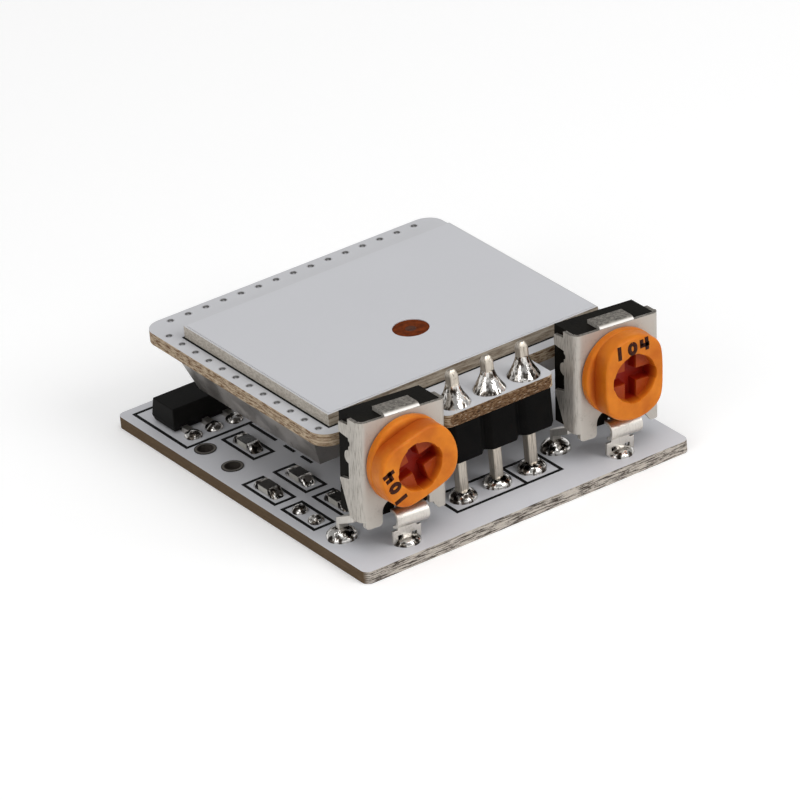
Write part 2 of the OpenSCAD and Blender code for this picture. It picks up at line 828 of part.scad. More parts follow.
// Wiper terminal: collector disc, strip down and out under the knob, a roll, and a
// forked foot on the board
module wiper_terminal() {
    strip_z = roll_z + roll_r;
    neck_z = roll_z - roll_r;
    shoulder_z = fork_z + fork_h;
    backwards(track_front, floor_d) {
        translate([0, knob_z]) circle(0.8);
        translate([-strip_w / 2, strip_z - strip_t])
            square([strip_w, knob_z - strip_z + strip_t]);
    }
    across(strip_w) translate([roll_d, strip_z - strip_t])
        square([floor_d - roll_d, strip_t]);
    across(roll_w) {
        translate([roll_d, roll_z]) quarter_ring(roll_r - strip_t, roll_r, 90);
        translate([roll_d, roll_z]) quarter_ring(roll_r - strip_t, roll_r, 180);
        translate([roll_d, strip_z - strip_t]) square([-roll_d - 0.1, strip_t]);
    }
    across(wiper_neck_w) {
        translate([roll_d, neck_z]) square([wiper_d + strip_t / 2 - roll_d, strip_t]);
        translate([wiper_d - strip_t / 2, shoulder_z - eps])
            square([strip_t, neck_z - shoulder_z + 2 * eps]);
    }
    backwards(wiper_d - strip_t / 2, wiper_d + strip_t / 2) {
        translate([-fork_w / 2, fork_z]) square([fork_w, fork_h]);
        for (x = [-fork_w / 2, fork_w / 2 - tine_w])
            translate([x, tine_low]) square([tine_w, fork_z - tine_low + eps]);
        translate([-end_w / 2, -board_t]) square([end_w, board_t + fork_z + eps]);
    }
}

// End terminals: up behind the track, out of the body's foot, back and down
module end_terminals() {
    foot_top = end_low - 2 * end_kink;
    for (s = [-1, 1]) translate([s * end_pitch / 2, 0, 0]) across(end_w) {
        translate([floor_d, end_low]) square([end_t, trim_base + end_top - end_low]);
        polygon([
            [floor_d, end_low], [floor_d + end_t, end_low + end_kink],
            [end_back + end_t / 2, end_low - end_kink], [end_back + end_t / 2, foot_top],
            [end_back - end_t / 2, foot_top]]);
        translate([end_back - end_t / 2, -board_t]) square([end_t, board_t + foot_top]);
    }
}

module trimmer_solder() {
    color("lightgray") placed() trimmer_places() difference() {
        union() {
            for (s = [-1, 1]) translate([s * end_pitch / 2, end_back, 0]) {
                solder_dome(end_dome_r, end_dome_h);
                hole_fill();
            }
            translate([wiper_x, wiper_d, 0]) {
                solder_dome(foot_dome_r, foot_dome_h);
                hole_fill();
            }
        }
        leaning() wiper_terminal();
        leaning() end_terminals();
    }
}

module at_left() placed() translate([left_x, plate_y, 0]) cut_flush() leaning() children();

module at_right() placed() translate([right_x, plate_y, 0]) cut_flush() leaning() children();

module left_trimmer_body() color("#1a1a1a") at_left() trimmer_body();
module left_trimmer_cover() color("silver") at_left() trimmer_cover();
module left_track() color("#3a3630") at_left() track();
module left_wiper_terminal() color("silver") at_left() wiper_terminal();
module left_end_terminals() color("silver") at_left() end_terminals();
module left_knob() color("darkorange") at_left() knob(left_turn);
module left_wiper() color("goldenrod") at_left() wiper(left_turn);

module right_trimmer_body() color("#1a1a1a") at_right() trimmer_body();
module right_trimmer_cover() color("silver") at_right() trimmer_cover();
module right_track() color("#3a3630") at_right() track();
module right_wiper_terminal() color("silver") at_right() wiper_terminal();
module right_end_terminals() color("silver") at_right() end_terminals();
module right_knob() color("darkorange") at_right() knob(right_turn);
module right_wiper() color("goldenrod") at_right() wiper(right_turn);

base_board();
silkscreen();
base_pads();
rf_board();
rf_silkscreen();
rf_vias();
antenna_plate();
antenna_patch();
feed_pin();
shield_can();
rf_chip();
header_block();
header_pins();
header_solder_top();
header_solder_base();
regulator_body();
regulator_leads();
regulator_solder();
resistor_bodies();
resistor_coats();
resistor_caps();
chip_solder();
capacitor_bodies();
capacitor_caps();
controller_body();
controller_leads();
left_trimmer_body();
left_trimmer_cover();
left_track();
left_wiper_terminal();
left_end_terminals();
left_knob();
left_wiper();
right_trimmer_body();
right_trimmer_cover();
right_track();
right_wiper_terminal();
right_end_terminals();
right_knob();
right_wiper();
trimmer_solder();
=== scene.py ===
# %% [markdown]
# **A radar sensor module.** Two small circuit boards are stacked on a pin header: the upper
# one carries a white antenna plate, the lower one two orange trimmers. The exact solids come
# from a CAD model and are loaded as a frame. They stay where they are: this script dresses
# them, and covers some with finer shapes.

# %% Load the measured model
import json
import math

import bmesh
import bpy
import numpy as np
from mathutils import Matrix, Vector


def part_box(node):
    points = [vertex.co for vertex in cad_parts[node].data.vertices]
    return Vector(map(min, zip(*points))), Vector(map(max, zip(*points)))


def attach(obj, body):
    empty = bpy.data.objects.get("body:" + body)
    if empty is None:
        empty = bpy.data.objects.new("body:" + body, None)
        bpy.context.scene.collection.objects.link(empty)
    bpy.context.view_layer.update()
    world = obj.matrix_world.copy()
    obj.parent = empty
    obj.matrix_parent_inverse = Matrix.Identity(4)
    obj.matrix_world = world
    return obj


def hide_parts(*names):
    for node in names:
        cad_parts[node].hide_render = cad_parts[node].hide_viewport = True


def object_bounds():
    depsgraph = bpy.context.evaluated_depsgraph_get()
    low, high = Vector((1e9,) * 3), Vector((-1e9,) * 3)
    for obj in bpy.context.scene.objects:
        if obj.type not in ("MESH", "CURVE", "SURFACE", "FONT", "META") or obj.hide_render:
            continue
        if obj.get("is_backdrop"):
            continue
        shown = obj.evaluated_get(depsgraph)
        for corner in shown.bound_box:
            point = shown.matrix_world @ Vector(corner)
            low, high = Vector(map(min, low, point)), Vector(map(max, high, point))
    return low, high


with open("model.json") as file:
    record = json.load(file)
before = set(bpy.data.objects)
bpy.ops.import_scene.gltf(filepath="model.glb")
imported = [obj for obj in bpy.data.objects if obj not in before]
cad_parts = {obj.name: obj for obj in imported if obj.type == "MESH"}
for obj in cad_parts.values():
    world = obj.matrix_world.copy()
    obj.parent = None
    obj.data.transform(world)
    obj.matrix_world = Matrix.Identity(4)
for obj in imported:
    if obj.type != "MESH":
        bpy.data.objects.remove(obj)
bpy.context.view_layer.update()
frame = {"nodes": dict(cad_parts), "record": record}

MM = 0.001

# %% [markdown]
# **The camera comes first.** The module is a stack of two small circuit boards about as
# wide as a thumbnail, photographed from the front left with a long lens. A long lens keeps
# the far edges nearly parallel. The camera is placed by its direction, its distance and a
# small roll, so that every later piece can be judged in the right view.

# %% Camera
azimuth, elevation, roll = np.radians([-32.106, 27.905, -5.594])
target = np.array([-1.052, -1.958, 3.8]) * MM
distance = 426.391 * MM

back = np.array([np.sin(azimuth) * np.cos(elevation), -np.cos(azimuth) * np.cos(elevation),
                 np.sin(elevation)])
level = np.cross(-back, [0, 0, 1])
level /= np.linalg.norm(level)
upright = np.cross(level, -back)
right = level * np.cos(roll) + upright * np.sin(roll)
up = upright * np.cos(roll) - level * np.sin(roll)

lens = bpy.data.cameras.new("camera")
lens.sensor_fit, lens.sensor_width, lens.lens = "HORIZONTAL", 36, 318.606
lens.clip_start, lens.clip_end = 0.01, 20
camera = bpy.data.objects.new("camera", lens)
camera.matrix_world = Matrix([
    [right[0], up[0], back[0], target[0] + distance * back[0]],
    [right[1], up[1], back[1], target[1] + distance * back[1]],
    [right[2], up[2], back[2], target[2] + distance * back[2]],
    [0, 0, 0, 1]])
bpy.context.scene.collection.objects.link(camera)
bpy.context.scene.camera = camera
bpy.context.scene.view_settings.view_transform = "Standard"
print("camera stands", round(distance / MM), "mm away with a", round(lens.lens), "mm lens")

# %% [markdown]
# **Building materials with few words.** A procedural material is a small network of nodes.
# Making each node by hand takes three lines, so `add` makes one node and sets or links its
# sockets in a single call. `mixed`, `ramp` and `calc` cover the three nodes used most, and
# `weighed` is the sum that joins two noises.

# %% Node helpers
def put(target_socket, value, tree):
    """Links a socket, or sets a constant, on an input."""
    if isinstance(value, bpy.types.NodeSocket):
        tree.links.new(value, target_socket)
    elif isinstance(value, tuple) and len(value) == 3 and target_socket.type == "RGBA":
        target_socket.default_value = (*value, 1)
    else:
        target_socket.default_value = value


def add(tree, kind, **values):
    """One shader node. A value named like an input sets it, any other sets a property."""
    node = tree.nodes.new("ShaderNode" + kind)
    inputs = {s.name.replace(" ", "_"): s for s in reversed(node.inputs)}
    for key, value in values.items():
        if key in inputs:
            put(inputs[key], value, tree)
        else:
            setattr(node, key, value)
    return node


# A Mix node has sockets for every kind of data: these are the places of the colour ones.
MIX_AMOUNT, MIX_FIRST, MIX_SECOND, MIX_RESULT = 0, 6, 7, 2


def mixed(tree, amount, first, second):
    """Colour between two colours."""
    node = tree.nodes.new("ShaderNodeMix")
    node.data_type = "RGBA"
    for index, value in ((MIX_AMOUNT, amount), (MIX_FIRST, first), (MIX_SECOND, second)):
        put(node.inputs[index], value, tree)
    return node.outputs[MIX_RESULT]


def ramp(tree, value, *stops):
    """Reads a value through stops of (place, grey or colour)."""
    node = add(tree, "ValToRGB", Fac=value)
    bar = node.color_ramp.elements
    while len(bar) < len(stops):
        bar.new(0.5)
    for element, (place, tone) in zip(bar, stops):
        element.position = place
        element.color = (tone, tone, tone, 1) if isinstance(tone, (int, float)) else (*tone, 1)
    return node.outputs[0]


def calc(tree, operation, *values):
    """One arithmetic step on values."""
    node = tree.nodes.new("ShaderNodeMath")
    node.operation = operation
    for socket, value in zip(node.inputs, values):
        put(socket, value, tree)
    return node.outputs[0]


def weighed(tree, first, share, second, rest):
    """Sum of two values, each with its own weight."""
    return calc(tree, "ADD", calc(tree, "MULTIPLY", first, share),
                calc(tree, "MULTIPLY", second, rest))


MM_PER_METRE = 1000.0


def place_mm(tree, stretch=(1, 1, 1)):
    """Object coordinates in millimetres, stretched by a factor along each axis."""
    where = add(tree, "TexCoord").outputs["Object"]
    scale = tuple(MM_PER_METRE * s for s in stretch)
    return add(tree, "Mapping", Vector=where, Scale=scale).outputs[0]


def noise(tree, where, scale, detail=3.0, rough=0.55):
    """Cloudy value round a half, with about `scale` clouds in a millimetre."""
    return add(tree, "TexNoise", Vector=where, Scale=scale, Detail=detail,
               Roughness=rough).outputs[0]


print("helpers ready")

# %% [markdown]
# **Effects that several finishes share** are node groups with named inputs and outputs.
# *Laminate edge* is the cut side of a circuit board: flat glass fibres in resin, seen as
# long thin streaks with dark resin between them. *Soft mottle* is the faint unevenness that
# keeps any wide surface from looking computed. *Handled metal* is thin tin plating: cloudy
# patches, tiny dark pits and fine rolling lines.

# %% Shared effects
def new_group(name, inputs, outputs):
    """A node group; a colour default makes a colour socket, a number a value socket."""
    group = bpy.data.node_groups.new(name, "ShaderNodeTree")
    for socket, default in inputs.items():
        kind = "NodeSocketColor" if isinstance(default, tuple) else "NodeSocketFloat"
        made = group.interface.new_socket(socket, in_out="INPUT", socket_type=kind)
        made.default_value = (*default, 1) if isinstance(default, tuple) else default
    for socket in outputs:
        kind = "NodeSocketColor" if socket == "Color" else "NodeSocketFloat"
        group.interface.new_socket(socket, in_out="OUTPUT", socket_type=kind)
    return group, group.nodes.new("NodeGroupInput"), group.nodes.new("NodeGroupOutput")


def laminate_edge():
    """Two colours and the share of the dark one. Run and Layers are how often the streaks
    change along the edge and across it, and Blend is how softly fibre turns to resin."""
    group, given, out = new_group("Laminate edge", {
        "Fibre": (0.5, 0.45, 0.38), "Resin": (0.12, 0.08, 0.05), "Dark share": 0.45,
        "Run": 0.4, "Layers": 7.0, "Blend": 0.05}, ["Color", "Height"])
    value = given.outputs
    where = add(group, "SeparateXYZ", Vector=place_mm(group)).outputs
    along = calc(group, "MULTIPLY", calc(group, "ADD", where[0], where[1]), value["Run"])
    across = calc(group, "MULTIPLY", where[2], value["Layers"])
    stacked = add(group, "CombineXYZ", X=along, Y=across).outputs[0]
    layers = noise(group, stacked, 1.0, 5, 0.62)
    threads = noise(group, place_mm(group, (3.0, 3.0, 22.0)), 1.5, 3, 0.65)
    both = weighed(group, layers, 0.70, threads, 0.30)
    shifted = calc(group, "SUBTRACT", both, calc(group, "SUBTRACT", value["Dark share"], 0.5))
    low = calc(group, "SUBTRACT", 0.5, value["Blend"])
    span = calc(group, "MULTIPLY", value["Blend"], 2.0)
    reached = calc(group, "DIVIDE", calc(group, "SUBTRACT", shifted, low), span)
    share = calc(group, "MINIMUM", calc(group, "MAXIMUM", reached, 0.0), 1.0)
    group.links.new(mixed(group, share, value["Resin"], value["Fibre"]), out.inputs[0])
    group.links.new(both, out.inputs[1])
    return group


def soft_mottle():
    """A grey near 1 that swings by Strength, over clouds whose width grows with Size."""
    group, given, out = new_group("Soft mottle", {"Size": 1.0, "Strength": 0.1},
                                  ["Value", "Height"])
    value = given.outputs
    where = place_mm(group)
    wide = noise(group, where, calc(group, "DIVIDE", 0.6, value["Size"]), 3)
    fine = noise(group, where, calc(group, "DIVIDE", 9.0, value["Size"]), 2)
    both = weighed(group, wide, 0.75, fine, 0.25)
    swing = calc(group, "MULTIPLY", calc(group, "SUBTRACT", both, 0.5), value["Strength"])
    group.links.new(calc(group, "ADD", swing, 1.0), out.inputs[0])
    group.links.new(fine, out.inputs[1])
    return group


def handled_metal():
    """Clouds and pits turn Metal to Stain, by Stain share at most. Streaks says how dark the
    rolling lines are."""
    group, given, out = new_group("Handled metal", {
        "Metal": (0.5, 0.46, 0.41), "Stain": (0.10, 0.08, 0.06), "Stain share": 0.3,
        "Streaks": 0.0}, ["Color", "Roughness", "Height"])
    value = given.outputs
    where = place_mm(group)
    clouds = noise(group, where, 1.1, 4, 0.62)
    pits = noise(group, where, 7.0, 3, 0.7)
    lines = noise(group, place_mm(group, (14.0, 14.0, 0.7)), 1.0, 3, 0.6)
    amount = weighed(group, clouds, 0.6, pits, 0.4)
    stained = ramp(group, amount, (0.54, 0.0), (0.70, 1.0))
    lined = ramp(group, lines, (0.50, 0.0), (0.72, 1.0))
    rolled = calc(group, "MULTIPLY", lined, value["Streaks"])
    share = calc(group, "MAXIMUM", calc(group, "MULTIPLY", stained, value["Stain share"]), rolled)
    group.links.new(mixed(group, share, value["Metal"], value["Stain"]), out.inputs[0])
    group.links.new(calc(group, "MULTIPLY_ADD", clouds, 0.35, 0.5), out.inputs[1])
    group.links.new(weighed(group, pits, 0.5, lines, 0.5), out.inputs[2])
    return group


LAMINATE, MOTTLE, METAL = laminate_edge(), soft_mottle(), handled_metal()


def grouped(tree, group, **values):
    """Places a shared effect in a material with its own values."""
    node = tree.nodes.new("ShaderNodeGroup")
    node.node_tree = group
    for key, value in values.items():
        put(node.inputs[key.replace("_", " ")], value, tree)
    return node


print("shared effects:", [g.name for g in (LAMINATE, MOTTLE, METAL)])

# %% [markdown]
# **A material's frame.** Each finish below is one short block: it asks for a fresh material,
# works out colour, roughness and height with nodes, and hands them to the
# Principled shader. `finish` does the last part, so that a block only holds what is
# particular to its surface.

# %% Material frame
def fresh(name):
    """An empty material and its node tree."""
    material = bpy.data.materials.new(name)
    material.use_nodes = True
    tree = material.node_tree
    tree.nodes.clear()
    return material, tree


def finish(tree, height=None, bump=0.0, relief=0.01, **sockets):
    """Principled shader to the output; height in millimetres of relief bends the light."""
    shader = add(tree, "BsdfPrincipled", **sockets)
    if height is not None:
        bent = add(tree, "Bump", Height=height, Strength=bump, Distance=relief * MM)
        tree.links.new(bent.outputs[0], shader.inputs["Normal"])
    add(tree, "OutputMaterial", Surface=shader.outputs[0])


def times(tree, colour, value):
    """Colour multiplied by a grey value."""
    node = tree.nodes.new("ShaderNodeVectorMath")
    node.operation = "MULTIPLY"
    put(node.inputs[0], colour, tree)
    put(node.inputs[1], value, tree)
    return node.outputs[0]


def facing(tree, axis):
    """The part of the surface's own direction along one axis, without its sign."""
    normal = add(tree, "TexCoord").outputs["Normal"]
    return calc(tree, "ABSOLUTE", add(tree, "SeparateXYZ", Vector=normal).outputs[axis])


def dress(material, *names):
    """Gives CAD nodes a finish by filling their own material slots."""
    for name in names:
        data = frame["nodes"][name].data
        data.materials.clear()
        data.materials.append(material)


print("material frame ready")

# %% [markdown]
# ** The boards' white solder mask** is a thin lacquer over laminate. Its top is an even cool
# grey-white with a slight orange-peel skin; on the base board it is painted lighter than on
# the radar board, as painted light that makes up for the shade of the stack above. The cut
# sides show the laminate: the base board was routed on its front, which left pale fuzzy
# fibres, and its left side is painted dark brown, partly the laminate's brown and partly
# painted shade on the side turned from the light. One material serves the whole board: it
# tells top from sides by the direction the surface faces, and the drilled walls by their
# distance from the outline; the drilled walls are painted near black, as painted shade
# inside the holes.

# %% Base board finish
def box_mm(node):
    """Lowest and highest corner of a CAD node, in millimetres."""
    return [np.array(corner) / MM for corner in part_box(node)]


half = (box_mm("base_board")[1] - box_mm("base_board")[0]) / 2
pins_lo, pins_hi = box_mm("header_pins")
stack_x, pin_y = ((pins_lo + pins_hi) / 2)[:2]
# Spacing of the pins and of a trimmer's end legs, then radii: solder domes and open rings.
PITCH, END_PITCH, END_DOME, WIPER_DOME, PAD = 2.54, 5.0, 1.0, 0.9, 0.7
pin_places = [(stack_x + k * PITCH, pin_y) for k in (-1, 0, 1)]
joint_lo, joint_hi = box_mm("trimmer_solder")
trimmer_x = {"left": joint_lo[0] + END_DOME + END_PITCH / 2,
             "right": joint_hi[0] - END_DOME - END_PITCH / 2}
end_y = joint_hi[1] - END_DOME
end_places = [(x + s * END_PITCH / 2, end_y) for x in trimmer_x.values() for s in (-1, 1)]
wiper_places = [(x, joint_lo[1] + WIPER_DOME) for x in trimmer_x.values()]
pads_lo, pads_hi = box_mm("base_pads")
LIGHT_SPACING = 3.0
light_places = [(pads_lo[0] + PAD, pads_lo[1] + PAD + k * LIGHT_SPACING) for k in (0, 1)]
supply_places = [(stack_x + k * PITCH, pads_hi[1] - PAD) for k in (-1, 0, 1)]
holes = pin_places + end_places + wiper_places + light_places + supply_places
print("soldered and open holes:", len(holes))


def nearest(tree, places):
    """Distance in millimetres, seen from above, to the nearest of some places."""
    split = add(tree, "SeparateXYZ", Vector=place_mm(tree))
    flat = add(tree, "CombineXYZ", X=split.outputs[0], Y=split.outputs[1]).outputs[0]
    closest = None
    for x, y in places:
        step = add(tree, "VectorMath", operation="DISTANCE")
        tree.links.new(flat, step.inputs[0])
        step.inputs[1].default_value = (x, y, 0)
        away = step.outputs[1]
        closest = away if closest is None else calc(tree, "MINIMUM", closest, away)
    return closest


# In millimetres: the band that counts as rim, the radius of the tinned rings under the board,
# and the height below which they lie.
RIM, RING_R, UNDERSIDE = 0.6, 0.9, 0.3

mask_base, tree = fresh("white mask base board")
mottle = grouped(tree, MOTTLE, Size=2.2, Strength=0.12)
# Painted light: the base board's lacquer is lighter than the radar board's, making up for the shade
# of the stack above it.
lacquer = times(tree, (0.680, 0.684, 0.716), mottle.outputs[0])
split = add(tree, "SeparateXYZ", Vector=place_mm(tree))
far_x = calc(tree, "GREATER_THAN", calc(tree, "ABSOLUTE", split.outputs[0]), half[0] - RIM)
far_y = calc(tree, "GREATER_THAN", calc(tree, "ABSOLUTE", split.outputs[1]), half[1] - RIM)
on_rim = calc(tree, "MAXIMUM", far_x, far_y)
is_side = calc(tree, "LESS_THAN", facing(tree, 2), 0.5)
faces_x = ramp(tree, facing(tree, 0), (0.60, 0.0), (0.97, 1.0))
routed = grouped(tree, LAMINATE, Fibre=(0.56, 0.51, 0.45), Resin=(0.06, 0.046, 0.036),
                 Dark_share=0.49, Run=0.8, Layers=10.0, Blend=0.04)
# The left cut side is painted dark brown: the laminate's brown, with painted shade on the side
# turned from the light.
left_cut_with_shade = grouped(tree, LAMINATE, Fibre=(0.135, 0.088, 0.046), Resin=(0.095, 0.058, 0.029),
                 Dark_share=0.5, Run=0.6, Layers=6.0, Blend=0.14)
cut = mixed(tree, faces_x, routed.outputs[0], left_cut_with_shade.outputs[0])
# Sides away from the outline are the drilled holes' walls, painted near black as painted shade
# inside the holes.
sides_with_hole_shade = mixed(tree, on_rim, (0.055, 0.046, 0.038), cut)
below = calc(tree, "LESS_THAN", split.outputs[2], UNDERSIDE)
ring = calc(tree, "MULTIPLY", calc(tree, "LESS_THAN", nearest(tree, holes), RING_R), below)
tin = grouped(tree, METAL, Metal=(0.60, 0.58, 0.55), Stain=(0.2, 0.17, 0.13), Stain_share=0.5)
face = mixed(tree, ring, lacquer, tin.outputs[0])
colour = mixed(tree, is_side, face, sides_with_hole_shade)
metal_part = calc(tree, "MULTIPLY", ring, calc(tree, "SUBTRACT", 1.0, is_side))
skin = weighed(tree, routed.outputs[1], is_side, mottle.outputs[1], 0.04)
finish(tree, skin, 0.8, 0.06, Base_Color=colour, Metallic=metal_part, Specular_IOR_Level=0.3,
       Roughness=mixed(tree, is_side, (0.42, 0.42, 0.42), (0.85, 0.85, 0.85)))
dress(mask_base, "base_board")
print("base board:", round(2 * half[0], 1), "by", round(2 * half[1], 1), "mm")

# %% [markdown]
# ** The radar board** wears the same lacquer, in its plain tone, darker than the base board's
# lightened one. Its cut side was sawn, so that long pale fibres lie in brown resin. The small
# vias are dimples under the lacquer: their steep walls get painted shade, so their material
# darkens a face the further it is from lying flat.

# %% Radar board finish
mask_radar, tree = fresh("white mask radar board")
mottle = grouped(tree, MOTTLE, Size=2.0, Strength=0.09)
lacquer = times(tree, (0.575, 0.578, 0.600), mottle.outputs[0])
is_side = calc(tree, "LESS_THAN", facing(tree, 2), 0.5)
sawn = grouped(tree, LAMINATE, Fibre=(0.56, 0.445, 0.31), Resin=(0.16, 0.080, 0.034),
               Dark_share=0.49, Run=1.7, Layers=8.0, Blend=0.07)
colour = mixed(tree, is_side, lacquer, sawn.outputs[0])
skin = weighed(tree, sawn.outputs[1], is_side, mottle.outputs[1], 0.04)
finish(tree, skin, 0.9, 0.08, Base_Color=colour, Specular_IOR_Level=0.3,
       Roughness=mixed(tree, is_side, (0.40, 0.40, 0.40), (0.85, 0.85, 0.85)))
dress(mask_radar, "rf_board")

dimpled, tree = fresh("masked via")
mottle = grouped(tree, MOTTLE, Size=1.0, Strength=0.15)
# Painted shade: the steeper a dimple's wall, the darker it is painted.
dimple_shade = ramp(tree, facing(tree, 2), (0.85, (0.10, 0.098, 0.098)), (0.95, (0.27, 0.27, 0.275)),
             (0.995, (0.52, 0.52, 0.54)))
finish(tree, mottle.outputs[1], 0.2, 0.01, Base_Color=times(tree, dimple_shade, mottle.outputs[0]),
       Roughness=0.22)
dress(dimpled, "rf_vias")

# %% [markdown]
# **The antenna** is a thick pale laminate with a coated metal patch. Its coat is the
# smoothest, most even surface on the module. A round window in the patch bares the brown
# laminate round the feed pin, so the plate's material turns brown inside that radius. The
# plate's front and back were routed and show dark streaks; its other sides are cleaner.

# %% Antenna finishes
WINDOW_R = 1.2
feed = sum(box_mm("feed_pin")) / 2
plate, tree = fresh("antenna laminate")
in_window = calc(tree, "LESS_THAN", nearest(tree, [feed[:2]]), WINDOW_R)
mottle = grouped(tree, MOTTLE, Size=1.5, Strength=0.12)
streaks = noise(tree, place_mm(tree, (0.5, 0.5, 9.0)), 1.5, 3)
specks = noise(tree, place_mm(tree, (3.0, 3.0, 6.0)), 1.4, 3)
cream = ramp(tree, specks, (0.36, (0.42, 0.375, 0.315)), (0.60, (0.60, 0.555, 0.49)))
routed_front = grouped(tree, LAMINATE, Fibre=(0.40, 0.345, 0.275), Resin=(0.155, 0.115, 0.08),
                       Dark_share=0.48, Run=0.5, Layers=6.0, Blend=0.09)
faces_x = ramp(tree, facing(tree, 0), (0.3, 0.0), (0.9, 1.0))
side_tone = mixed(tree, faces_x, routed_front.outputs[0], cream)
top_tone = times(tree, (0.585, 0.585, 0.595), mottle.outputs[0])
brown = ramp(tree, noise(tree, place_mm(tree), 3.0, 3), (0.35, (0.085, 0.016, 0.003)),
             (0.65, (0.175, 0.034, 0.006)))
is_side = calc(tree, "LESS_THAN", facing(tree, 2), 0.5)
colour = mixed(tree, is_side, mixed(tree, in_window, top_tone, brown), side_tone)
finish(tree, streaks, 0.3, 0.03, Base_Color=colour, Roughness=0.65, Specular_IOR_Level=0.06)
dress(plate, "antenna_plate")

coat, tree = fresh("antenna coat")
mottle = grouped(tree, MOTTLE, Size=3.0, Strength=0.05)
white = times(tree, (0.602, 0.606, 0.632), mottle.outputs[0])
finish(tree, mottle.outputs[1], 0.12, 0.004, Base_Color=white, Roughness=0.38,
       Specular_IOR_Level=0.3)
dress(coat, "antenna_patch")

feed_metal, tree = fresh("feed pin")
spots = noise(tree, place_mm(tree), 5.0, 3)
tone = ramp(tree, spots, (0.35, (0.045, 0.010, 0.004)), (0.7, (0.12, 0.035, 0.014)))
finish(tree, spots, 0.5, 0.03, Base_Color=tone, Metallic=0.3, Roughness=0.5, Specular_IOR_Level=0.2)
dress(feed_metal, "feed_pin")
print("feed window round", np.round(feed[:2], 2).tolist())

# %% [markdown]
# **Ink** is printed on the lacquer by screen, so its black is slightly uneven and matt. The
# ink on the knobs is thinner, so that the orange below turns it brown.

# %% Ink finish
ink, tree = fresh("marking ink")
patchy = noise(tree, place_mm(tree), 6.0, 3)
tone = ramp(tree, patchy, (0.3, 0.003), (0.75, 0.012))
finish(tree, patchy, 0.2, 0.01, Base_Color=tone, Roughness=0.7, Specular_IOR_Level=0.12)
dress(ink, "silkscreen", "rf_silkscreen")

digit_ink, tree = fresh("brown digit ink")
patchy = noise(tree, place_mm(tree), 5.0, 3)
tone = ramp(tree, patchy, (0.35, (0.020, 0.006, 0.003)), (0.7, (0.075, 0.014, 0.004)))
finish(tree, patchy, 0.2, 0.01, Base_Color=tone, Roughness=0.6, Specular_IOR_Level=0.12)
print("inks ready")

# %% [markdown]
# ** Metals.** Tin plate on terminals, leads and pins is soft and warm, and the shield can is
# rolled bright, so that it mirrors the board below it; its tin is painted dark, as painted
# shade under the radar board. Both take the shared metal effect with values of their own. The
# trimmers' covers add marks that depend on which way a face looks: rolling lines, a tab top
# painted dark, partly as painted dark reflection, and a painted highlight on the tab's bend.
# Solder is wet-looking, with dark bands of its own instead of the shared effect: partly dark
# flux, partly painted dark reflection. A metal's colour is the reflected share of white
# light, so it stays under white.

# %% Metal finishes
def metal_finish(name, colour, stain, share, smooth, rough_span, bump, streaks=0.0):
    """Shared metal effect. Roughness starts at smooth and rises by rough_span at most."""
    material, tree = fresh(name)
    effect = grouped(tree, METAL, Metal=colour, Stain=stain, Stain_share=share, Streaks=streaks)
    rough = calc(tree, "MULTIPLY_ADD", effect.outputs[1], rough_span, smooth)
    finish(tree, effect.outputs[2], bump, 0.012, Base_Color=effect.outputs[0], Metallic=1.0,
           Roughness=rough)
    return material


tin_plate = metal_finish("tin plate", (0.66, 0.63, 0.585), (0.14, 0.115, 0.09), 0.5,
                         smooth=0.10, rough_span=0.45, bump=0.4, streaks=0.25)
pin_metal = metal_finish("tinned pin", (0.56, 0.51, 0.44), (0.08, 0.055, 0.033), 0.6,
                         smooth=0.12, rough_span=0.4, bump=0.4, streaks=0.75)
gold_contact = metal_finish("contact spring", (0.55, 0.38, 0.14), (0.2, 0.12, 0.05), 0.4,
                            smooth=0.25, rough_span=0.4, bump=0.2)
dress(gold_contact, "left_wiper", "right_wiper")

# Painted shade: the can's metal colour is dark, with a high stain share, standing for the shade
# under the radar board over real stains.
can_metal_with_painted_shade, tree = fresh("shield can")
effect = grouped(tree, METAL, Metal=(0.34, 0.315, 0.29), Stain=(0.06, 0.048, 0.038),
                 Stain_share=0.75)
dents = noise(tree, place_mm(tree), 0.32, 1, 0.4)
rough = calc(tree, "MULTIPLY_ADD", effect.outputs[1], 0.25, 0.14)
finish(tree, dents, 1.0, 0.45, Base_Color=effect.outputs[0], Metallic=1.0, Roughness=rough)
dress(can_metal_with_painted_shade, "shield_can")

# Solder is bright, with dark bands drawn up its flanks: partly dark flux, partly painted dark
# reflection.
solder_metal, tree = fresh("solder")
bands = noise(tree, place_mm(tree, (2.4, 2.4, 0.35)), 1.0, 2, 0.6)
blots = noise(tree, place_mm(tree), 2.2, 3, 0.6)
flux_and_reflection_bands = weighed(tree, bands, 0.65, blots, 0.35)
tone = ramp(tree, flux_and_reflection_bands, (0.40, (0.022, 0.018, 0.015)), (0.455, (0.14, 0.12, 0.10)),
            (0.51, (0.76, 0.74, 0.71)))
finish(tree, flux_and_reflection_bands, 1.0, 0.10, Base_Color=tone, Metallic=1.0,
       Roughness=ramp(tree, blots, (0.3, 0.07), (0.7, 0.20)))

# A cover is one pressed sheet: its front is clean, its side flanges keep the rolling lines
# of the strip, and its top tab is painted dark and speckled, partly dulled by handling and
# partly painted dark reflection. The bend at the tab's front carries a painted highlight.
cover_tin, tree = fresh("cover tin")
lined = ramp(tree, facing(tree, 0), (0.30, 0.03), (0.85, 0.85))
effect = grouped(tree, METAL, Metal=(0.53, 0.50, 0.455), Stain=(0.15, 0.125, 0.10),
                 Stain_share=0.34, Streaks=lined)
grains = noise(tree, place_mm(tree), 5.5, 3, 0.7)
